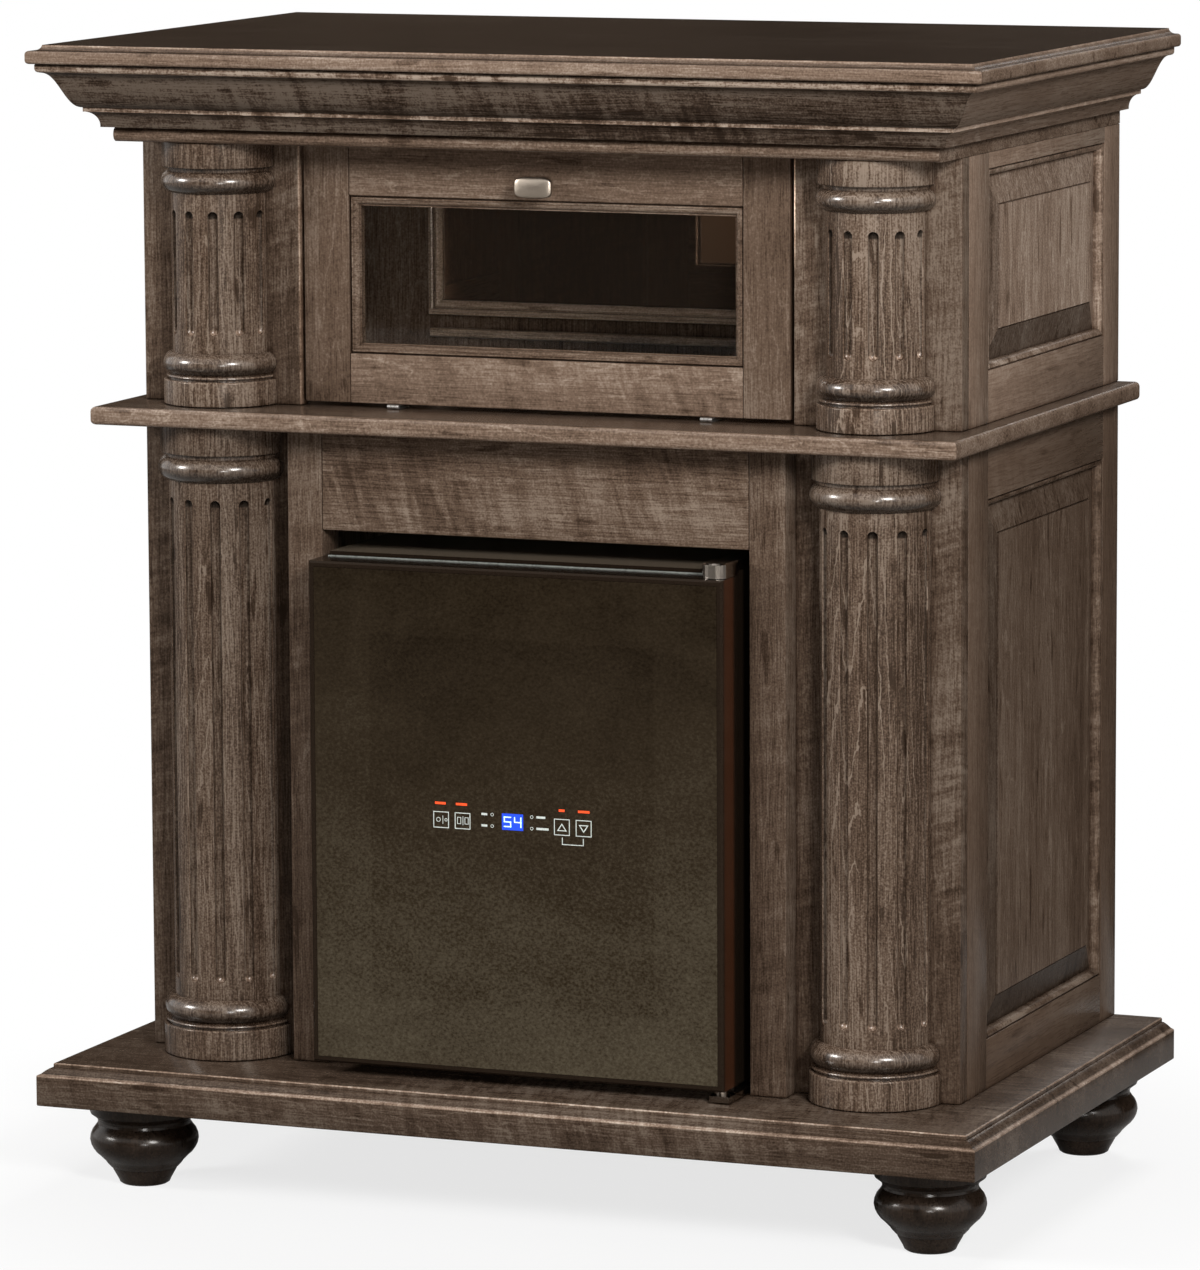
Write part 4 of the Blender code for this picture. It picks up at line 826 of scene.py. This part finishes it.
for node, along, curl, shade, arris_glint in EASED_BOARDS:
    low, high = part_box(node)
    inner = high.x if high.x < 0 else low.x
    body, slot, figure = ("drop_door", "door_wood", 0.7) if node.startswith("door") else ("case", "case_wood", 1.0)
    put(smooth(gather(f"eased_{node}", [eased(low, high, BOARD_EASE, 3)])),
        maple(f"maple {node}", along, curl=curl, shade=shade, figure=figure,
              edge=(inner, ARRIS, *arris_glint) if arris_glint else None), node, body=body, slot=slot)


def ring(name, place, u0, u1, v0, v1, profile):
    """Four mitred lengths of moulding round an opening.

    place turns (across, up, deep) into a point, and the profile is (inwards, deep) points."""
    def way(across, up):
        return place(across, up, 0) - place(0, 0, 0)

    spare = 0.01
    bits = []
    for u, v, turn in ((u0, v0, 1), (u1, v1, -1)):
        level = [place(u0 - spare, v + turn * into, deep) for into, deep in profile]
        bits.append(mitred("level", level, way(u1 - u0 + 2 * spare, 0), (place(u0, v, 0), way(1, -turn)),
                           (place(u1, v, 0), way(-1, -turn))))
        upright = [place(u + turn * into, v0 - spare, deep) for into, deep in profile]
        bits.append(mitred("upright", upright, way(0, v1 - v0 + 2 * spare), (place(u, v0, 0), way(-turn, 1)),
                           (place(u, v1, 0), way(-turn, -1))))
    return smooth(gather(name, bits), 30)


def bead_ring(name, node, profile):
    """A ring of moulding the size of a node, in a wall that faces forward."""
    low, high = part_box(node)
    return ring(name, lambda x, z, deep: Vector((x, low.y + deep, z)), low.x, high.x, low.z, high.z, profile)


bead = [(0, 0.0075), (0, 0.0034), (0.0011, 0.0034), (0.0012, 0.0005), (0.0017, 0), (0.0032, 0), (0.0034, 0.0009)]
bead += hollow(0.0034, 0.0009, 0.005, 0.0046, 10, 10)
bead += [(0.01, 0.0055), (0.01, 0.0075)]
put(bead_ring("moulded_door_bead", "door_bead", bead), maple("maple door bead", "X", curl=0.1, shade=1.1),
    "door_bead", body="drop_door", slot="door_wood")


def raised_panel(name, hand, face, y0, y1, z0, z1):
    """A panel whose bevelled border rises to a flat field."""
    deep, thick, lap = 0.0115, 0.006, 0.005
    piece = slab((face - hand * (deep + thick / 2), (y0 + y1) / 2, (z0 + z1) / 2),
                 (thick, y1 - y0 + 2 * lap, z1 - z0 + 2 * lap))
    piece.name = name
    choose(lambda centre, normal: normal.x * hand > 0.9)
    bpy.ops.mesh.inset(thickness=lap)
    for into, rise in ((0.0368, 0.0079), (0.0003, -0.0012), (0.0007, 0), (0.0003, 0.0024), (0.0006, 0.0004)):
        bpy.ops.mesh.inset(thickness=into)
        bpy.ops.transform.translate(value=(hand * rise, 0, 0))
    return smooth(piece, 4)


STICKING = [(0, 0.0122), (0, 0.0032), (0.0012, 0.0032), (0.0013, 0.0012), (0.0018, 0.0008), (0.0026, 0.0008)]
STICKING += hollow(0.0028, 0.001, 0.0046, 0.0066, 12, 8)
STICKING += [(0.0076, 0.008), (0.0076, 0.0122)]
OPENING_Y = (-0.0945, 0.268)
OPENING_Z = {"lower": (0.185, 0.725), "upper": (0.852, 1.05)}
# The upper side frames and panels are painted lighter than the lower ones, where the light falls more strongly.
for order, frame_shade, panel_shade in (("lower", 0.99, 0.95), ("upper", 2.0, 2.35)):
    for side, hand in (("left", -1), ("right", 1)):
        node, tail = f"side_frame_{order}_{side}", f"{order} {side}"
        low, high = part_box(node)
        (y0, y1), (z0, z1) = OPENING_Y, OPENING_Z[order]
        face = high.x if hand > 0 else low.x
        uprights = (low.y, y0, low.z, high.z), (y1, high.y, low.z, high.z)
        levels = (y0, y1, low.z, z0), (y0, y1, z1, high.z)
        for kind, along, curl, spans in (("stiles", "Z", 0.2, uprights), ("rails", "Y", 0.3, levels)):
            bits = [eased(Vector((low.x, a, c)), Vector((high.x, b, d)), FRAME_EASE, 2) for a, b, c, d in spans]
            put(smooth(gather(f"side_{kind}_{order}_{side}", bits)),
                maple(f"maple side {kind} {tail}", along, curl=curl, lines=0.1, shade=frame_shade, figure=0.5,
                      face="X"), node)
        put(ring(f"side_sticking_{order}_{side}", lambda y, z, deep: Vector((face - hand * deep, y, z)),
                 y0, y1, z0, z1, STICKING),
            maple(f"maple side sticking {tail}", "Z", curl=0.9, lines=0.1, shade=frame_shade, face="X"), node)
        node = f"side_panel_{order}_{side}"
        # Painted shade on the panels' bevels, most on those that look down, and on walls that look forward.
        put(raised_panel(f"raised_{node}", hand, face, y0, y1, z0, z1),
            maple(f"maple side panel {tail}", "Z", curl=0.1, lines=0.35, shade=panel_shade, figure=0.9, face="X",
                  under=0.38, over=0.85, front=0.55, specular=0.05), node)
LEDGE_DROP = 0.0245
low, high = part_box("back_mirror_frame")
wall = high.y - low.y
moulding = [(0, wall), (0, 0.0045), (0.0008, 0.003), (0.003, 0.003), (0.0036, 0.001), (0.005, 0), (0.0066, 0.0008)]
moulding += [(0.0074, 0.0036), (0.009, 0.0036), (0.0094, 0.0018), (0.011, 0.0012), (0.0128, 0.0022), (0.0146, 0.005)]
moulding += [(0.0158, 0.006), (0.016, wall)]
# The mirror frame and the strip below it get pale tones: painted light where the cabinet's inside lies in shade.
put(bead_ring("moulded_mirror_frame", "back_mirror_frame", moulding),
    maple("maple mirror frame", "X", LIT_TONES, 0.1, specular=0.3, shine=(0.9,)), "back_mirror_frame")
foot = low.z - LEDGE_DROP
hump = [(0, 0), (0.003, 0), (0.0052, 0.0014), (0.0058, 0.003), (0.005, 0.0042), (0.0058, 0.0054), (0.0066, 0.0072)]
hump += [(0.0055, 0.009), (0.003, 0.01), (0, 0.01)]
ledge = strip("back_foot_strip", [(low.x, high.y - out, foot + up) for out, up in hump], (high.x - low.x, 0, 0))
put(smooth(ledge, 35), maple("maple back foot strip", "X", LIT_TONES, 0.1, specular=0.3, shine=(0.9,)))
for node, along, shade in (("back_lower", "Z", 1.0), ("back_upper", "Z", 1.1), ("stemware_rack", "Y", 1.6),
                           ("door_stop", "X", 1.0)):
    coat(maple(f"maple {node}", along, curl=0.1, shade=shade, specular=0.25), node)


# ------------ glass, metal and the cooler
def plain(name, colour, rough, grain=(400, 400, 400), spread=0.25, **values):
    """A moulded or painted finish with a slight mottle in its colour and gloss."""
    made, tree, shader = finish_start(name, **values)
    mottle = noise(tree, here(tree), grain, 3, 0.6)
    low = [c * (1 - spread) for c in colour]
    high = [c * (1 + spread) for c in colour]
    relief = add(tree, "Bump", Strength=0.05, Distance=0.0003, Height=mottle)
    feed(tree, shader, Base_Color=ramp(tree, mottle, (0.3, low), (0.7, high)), Normal=relief.outputs["Normal"],
         Roughness=span(tree, mottle, 0.3, 0.7, rough * 0.8, rough * 1.2))
    return made


def clear_glass():
    made, tree, shader = finish_start("clear glass", Transmission_Weight=1.0, IOR=1.15, Base_Color=(1, 0.99, 0.97, 1))
    smear = noise(tree, here(tree), (9, 9, 9), 3, 0.6)
    feed(tree, shader, Roughness=span(tree, smear, 0.3, 0.7, 0.0, 0.012))
    path = tree.nodes.new("ShaderNodeLightPath").outputs
    lets = add(tree, "BsdfTransparent", Color=(0.95, 0.95, 0.94, 1))
    mix_shaders(tree, calc(tree, "MAXIMUM", path["Is Shadow Ray"], path["Is Diffuse Ray"]), shader, lets)
    return made


def door_mirror():
    made, tree, shader = finish_start("smoked mirror glass", Specular_IOR_Level=0.12, Specular_Tint=(1, 0.86, 0.68, 1))
    place = here(tree)
    at = apart(tree, place)
    speck = noise(tree, place, (300, 300, 380), 3, 0.75)
    smoke = noise(tree, place, (9, 9, 14), 3, 0.55, 0.8)
    # Painted reflection: a speckled carpet and a glow towards the bottom that fade to dark towards the top.
    low = span(tree, at["Z"], 0.25, 0.55, 1.0, 0.5, smooth=True)
    tone = swing(tree, speck, times(tree, low, 1.5), span(tree, at["Z"], 0.15, 0.65, 0.72, 0.15))
    tone = swing(tree, smoke, 0.45, tone)
    pane = times(tree, within(tree, at["X"], (-0.157, -0.153), (0.147, 0.151), smooth=True),
                 within(tree, at["Z"], (0.216, 0.22), (0.583, 0.587), smooth=True))
    tone = calc(tree, "MULTIPLY_ADD", pane, -0.07, tone, clamp=True)
    smoked = ramp(tree, tone, (0.0, (0.009, 0.0055, 0.0028)), (0.35, (0.028, 0.0195, 0.0112)),
                  (1.0, (0.085, 0.07, 0.046)))
    feed(tree, shader, Base_Color=smoked, Roughness=span(tree, speck, 0.3, 0.7, 0.03, 0.06))
    return made


def case_with_reflection(name, axis, reflected, start, end, rough):
    """A black case whose faces along an axis carry a painted reflection, between two depths from front to back."""
    made, tree, shader = finish_start(name, Specular_IOR_Level=0.3, Specular_Tint=(1, 0.72, 0.5, 1))
    mottle = noise(tree, here(tree), (700, 700, 700), 3, 0.6)
    square = calc(tree, "ABSOLUTE", facing(tree)[axis])
    depth = apart(tree, here(tree))["Y"]
    inside = within(tree, depth, (start - 0.003, start + 0.003), (end - 0.003, end + 0.003))
    mask = times(tree, span(tree, square, 0.6, 0.95), inside)
    ground = ramp(tree, mottle, (0.3, (0.008, 0.005, 0.003)), (0.7, (0.014, 0.009, 0.006)))
    feed(tree, shader, Base_Color=blend(tree, mask, ground, reflected),
         Roughness=span(tree, mottle, 0.3, 0.7, rough * 0.8, rough * 1.2))
    return made


pewter = plain("satin pewter", (0.42, 0.355, 0.29), 0.36, (1500, 900, 900), 0.06, Metallic=1.0)
steel = plain("bright steel", (0.55, 0.53, 0.5), 0.38, (200, 2000, 2000), 0.1, Metallic=1.0)
# The back mirror is tinted brown and keeps a little diffuse colour: a painted brown reflection of the cabinet's
# inside.
silvering = plain("silvered glass", (0.52, 0.375, 0.28), 0.025, (8, 8, 8), 0.05, Metallic=0.85)
black = plain("black case", (0.011, 0.0072, 0.0045), 0.22, (700, 700, 700), 0.3, Specular_IOR_Level=0.3,
              Specular_Tint=(1, 0.72, 0.5, 1))
grey = plain("grey liner", (0.2, 0.21, 0.21), 0.45, (300, 300, 300), 0.08)
rubber = plain("black rubber", (0.01, 0.01, 0.01), 0.6)
wire = plain("chromed wire", (0.55, 0.55, 0.54), 0.15, (500, 500, 500), 0.1, Metallic=1.0)
alloy = plain("dull alloy", (0.35, 0.36, 0.37), 0.38, (60, 1500, 60), 0.15, Metallic=1.0)
coat(clear_glass(), "door_glass")
coat(silvering, "back_mirror")


def door_knob(name, node):
    """A pillow-faced knob on a thin rim, with a turned stem and rose."""
    low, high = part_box(node)
    x, z, front = (low.x + high.x) / 2, (low.z + high.z) / 2, low.y
    wide, tall = high.x - low.x, 0.0215
    bits = []
    for face, thick, trim in ((front, 0.012, 0.0006), (front + 0.0072, 0.0026, 0.0024)):
        bit = slab((x, face + thick / 2, z), (wide - trim, thick, tall - trim))
        bpy.ops.mesh.subdivide(number_cuts=1)
        choose(lambda co: co.y < face + 0.001 and (abs(co.x - x) > 0.004 or abs(co.z - z) > 0.004), "VERT")
        bpy.ops.transform.translate(value=(0, 0.28 * thick, 0))
        settle(bit)
        soft = bit.modifiers.new("pillow", "SUBSURF")
        soft.levels = soft.render_levels = 4
        bpy.ops.object.modifier_apply(modifier="pillow")
        bits.append(bit)
    foot = front + 0.0074
    stem = [(0, foot), (0.006, foot), (0.0052, front + 0.013), (0.006, high.y - 0.006)]
    stem += [(0.0092, high.y - 0.0034), (0.0095, high.y - 0.0026), (0.0095, high.y), (0, high.y)]
    turned = draw("stem", [(x + r, y, z) for r, y in stem])
    bpy.ops.mesh.spin(steps=48, angle=2 * pi, center=(x, 0, z), axis=(0, 1, 0))
    clean()
    bits.append(settle(turned))
    return smooth(gather(name, bits), 40)


put(door_knob("cushion_knob", "door_knob"), pewter, "door_knob", body="drop_door", slot="knob_metal")
coat(steel, "hinge_leaf_left", "hinge_leaf_right", "hinge_base_left", "hinge_base_right")
coat(case_with_reflection("dark case with a painted reflection on its lid", "Z", (0.16, 0.125, 0.09), -0.215, 0.35, 0.16), "cooler_housing")
coat(black, "fan_frame", "fan_rotor")
for node in ("cooler_hinge_top", "cooler_hinge_bottom"):
    coat(plain(f"dark chrome {node}", (0.34, 0.3, 0.26), 0.16, (500, 500, 500), 0.1, Metallic=1.0), node)
coat(case_with_reflection("door frame with a painted reflection on its sides", "X", (0.045, 0.0145, 0.006), -0.253, -0.228, 0.21), "cooler_door_frame")
coat(grey, "cooler_liner")
coat(wire, "cooler_rack_1", "cooler_rack_2", "cooler_rack_3")
coat(door_mirror(), "cooler_door_mirror")
coat(rubber, "cooler_door_gasket")
coat(alloy, "heat_sink")


def edge_glint_strip(name, node):
    """A pale strip along the door's top: a painted highlight where the glass edge catches the light."""
    low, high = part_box(node)
    wide, deep, tall, sunk = high.x - low.x - 0.01, 0.0032, 0.0016, 0.0004
    piece = slab((0, high.y - deep / 2, high.z + tall / 2 - sunk), (wide, deep, tall))
    piece.name = name
    choose(lambda one, two: min(one.z, two.z) > high.z, "EDGE")
    bpy.ops.mesh.bevel(offset=0.0006, segments=3, affect="EDGES")
    return smooth(piece)


put(edge_glint_strip("glint_strip_top", "cooler_door_frame"),
    plain("pale glint", (0.17, 0.18, 0.165), 0.3, (300, 300, 300), 0.2), body="cooler_door", slot="gasket")

# ------------ touch marks on the cooler glass
MARK_T = 0.0002
MARK_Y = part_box("cooler_door_mirror")[0].y - 0.0001
NUMBER_Y = MARK_Y - 0.0003


def raised(bit, line=None):
    """Thickens a flat shape on the glass, filled or as an outline of the given line width."""
    if line:
        bpy.ops.mesh.inset(thickness=line)
        bpy.ops.mesh.delete(type="FACE")
        bpy.ops.mesh.select_all(action="SELECT")
    pull((0, -MARK_T, 0))
    clean()
    return settle(bit)


def mark(x0, x1, z0, z1, line=None, y=MARK_Y):
    """A bar on the glass, or the outline of one."""
    bpy.ops.mesh.primitive_plane_add(size=1, location=((x0 + x1) / 2, y, (z0 + z1) / 2), rotation=UPRIGHT)
    bit = bpy.context.object
    bit.scale = (x1 - x0, z1 - z0, 1)
    settle(bit)
    edit_all()
    return raised(bit, line)


def pointer(x, z, half, up):
    """A triangle outline that points up or down."""
    reach = half if up else -half
    foot, head = z - reach * 0.7, z + reach * 0.8
    bit = draw("pointer", [(x - half, MARK_Y, foot), (x + half, MARK_Y, foot), (x, MARK_Y, head)])
    bpy.ops.mesh.edge_face_add()
    return raised(bit, 0.0009)


def ringlet(x, z, radius, line):
    """A small ring on the glass."""
    bpy.ops.mesh.primitive_circle_add(vertices=24, radius=radius, fill_type="NGON", location=(x, MARK_Y, z),
                                      rotation=UPRIGHT)
    bit = settle(bpy.context.object)
    edit_all()
    return raised(bit, line)


def glow(name, colour, strength):
    """A lit or printed mark with a slight mottle."""
    made, tree, shader = finish_start(name, Roughness=0.4, Emission_Strength=strength)
    mottle = noise(tree, here(tree), (900, 900, 900), 1)
    lit = ramp(tree, mottle, (0.3, [c * 0.8 for c in colour]), (0.7, colour))
    feed(tree, shader, Base_Color=lit, Emission_Color=lit)
    return made


def digit(x, z, wide, tall, strokes, line=0.0011):
    """One plain number from strokes: a top, b upper right, c lower right, d foot, f upper left, g bar."""
    h, t = tall / 2, line
    places = {"a": (0, wide, tall - t, tall), "b": (wide - t, wide, h, tall), "c": (wide - t, wide, 0, h),
              "d": (0, wide, 0, t), "f": (0, t, h, tall), "g": (0, wide, h - t / 2, h + t / 2)}
    bars = [places[stroke] for stroke in strokes]
    return [mark(x + x0, x + x1, z + z0, z + z1, y=NUMBER_Y) for x0, x1, z0, z1 in bars]


keys = [mark(x, x + 0.0168, 0.3935, 0.41, 0.0008) for x in (-0.087, -0.0638, 0.0428, 0.066)]
keys += [pointer(0.0512, 0.4015, 0.0052, True), pointer(0.0744, 0.4015, 0.0052, False)]
keys += [ringlet(-0.0815, 0.4018, 0.0024, 0.0006), ringlet(-0.0733, 0.4018, 0.0016, 0.0006)]
keys += [mark(*box) for box in ((-0.077, -0.0764, 0.3975, 0.406), (-0.0612, -0.057, 0.3985, 0.4055, 0.0006),
                                (-0.0553, -0.0547, 0.3975, 0.4065), (-0.0532, -0.049, 0.3985, 0.4055, 0.0006),
                                (0.0512, 0.052, 0.385, 0.3915), (0.0736, 0.0744, 0.385, 0.3915),
                                (0.0512, 0.0744, 0.3842, 0.385))]
keys += [ringlet(x, z, 0.0017, 0.0005) for x in (-0.0235, 0.019) for z in (0.41, 0.3985)]
keys += [mark(x, x + w, z, z + 0.0022) for x, w, z in ((-0.035, 0.0062, 0.409), (-0.035, 0.0062, 0.3975),
                                                       (0.024, 0.0095, 0.409), (0.024, 0.013, 0.3975))]
bars = [mark(x, x + wide, 0.4172, 0.4196) for x, wide in ((-0.085, 0.0115), (-0.0625, 0.012), (0.048, 0.0062),
                                                          (0.0685, 0.0122))]
window = [mark(-0.013, 0.0098, 0.3955, 0.412)]
numbers = digit(-0.0108, 0.3985, 0.0078, 0.0105, "afgcd") + digit(0.0002, 0.3985, 0.0078, 0.0105, "fgbc")
for name, bits, print_name, colour, strength in (
        ("touch_key_outlines", keys, "pale print", (0.62, 0.66, 0.62), 0.25),
        ("red_key_bars", bars, "red print", (0.75, 0.07, 0.015), 0.9),
        ("display_window", window, "blue display", (0.012, 0.06, 0.62), 0.75),
        ("display_numbers", numbers, "lit numbers", (0.62, 0.86, 1.0), 1.0)):
    put(gather(name, bits), glow(print_name, colour, strength), body="cooler_door", slot="door_mirror")
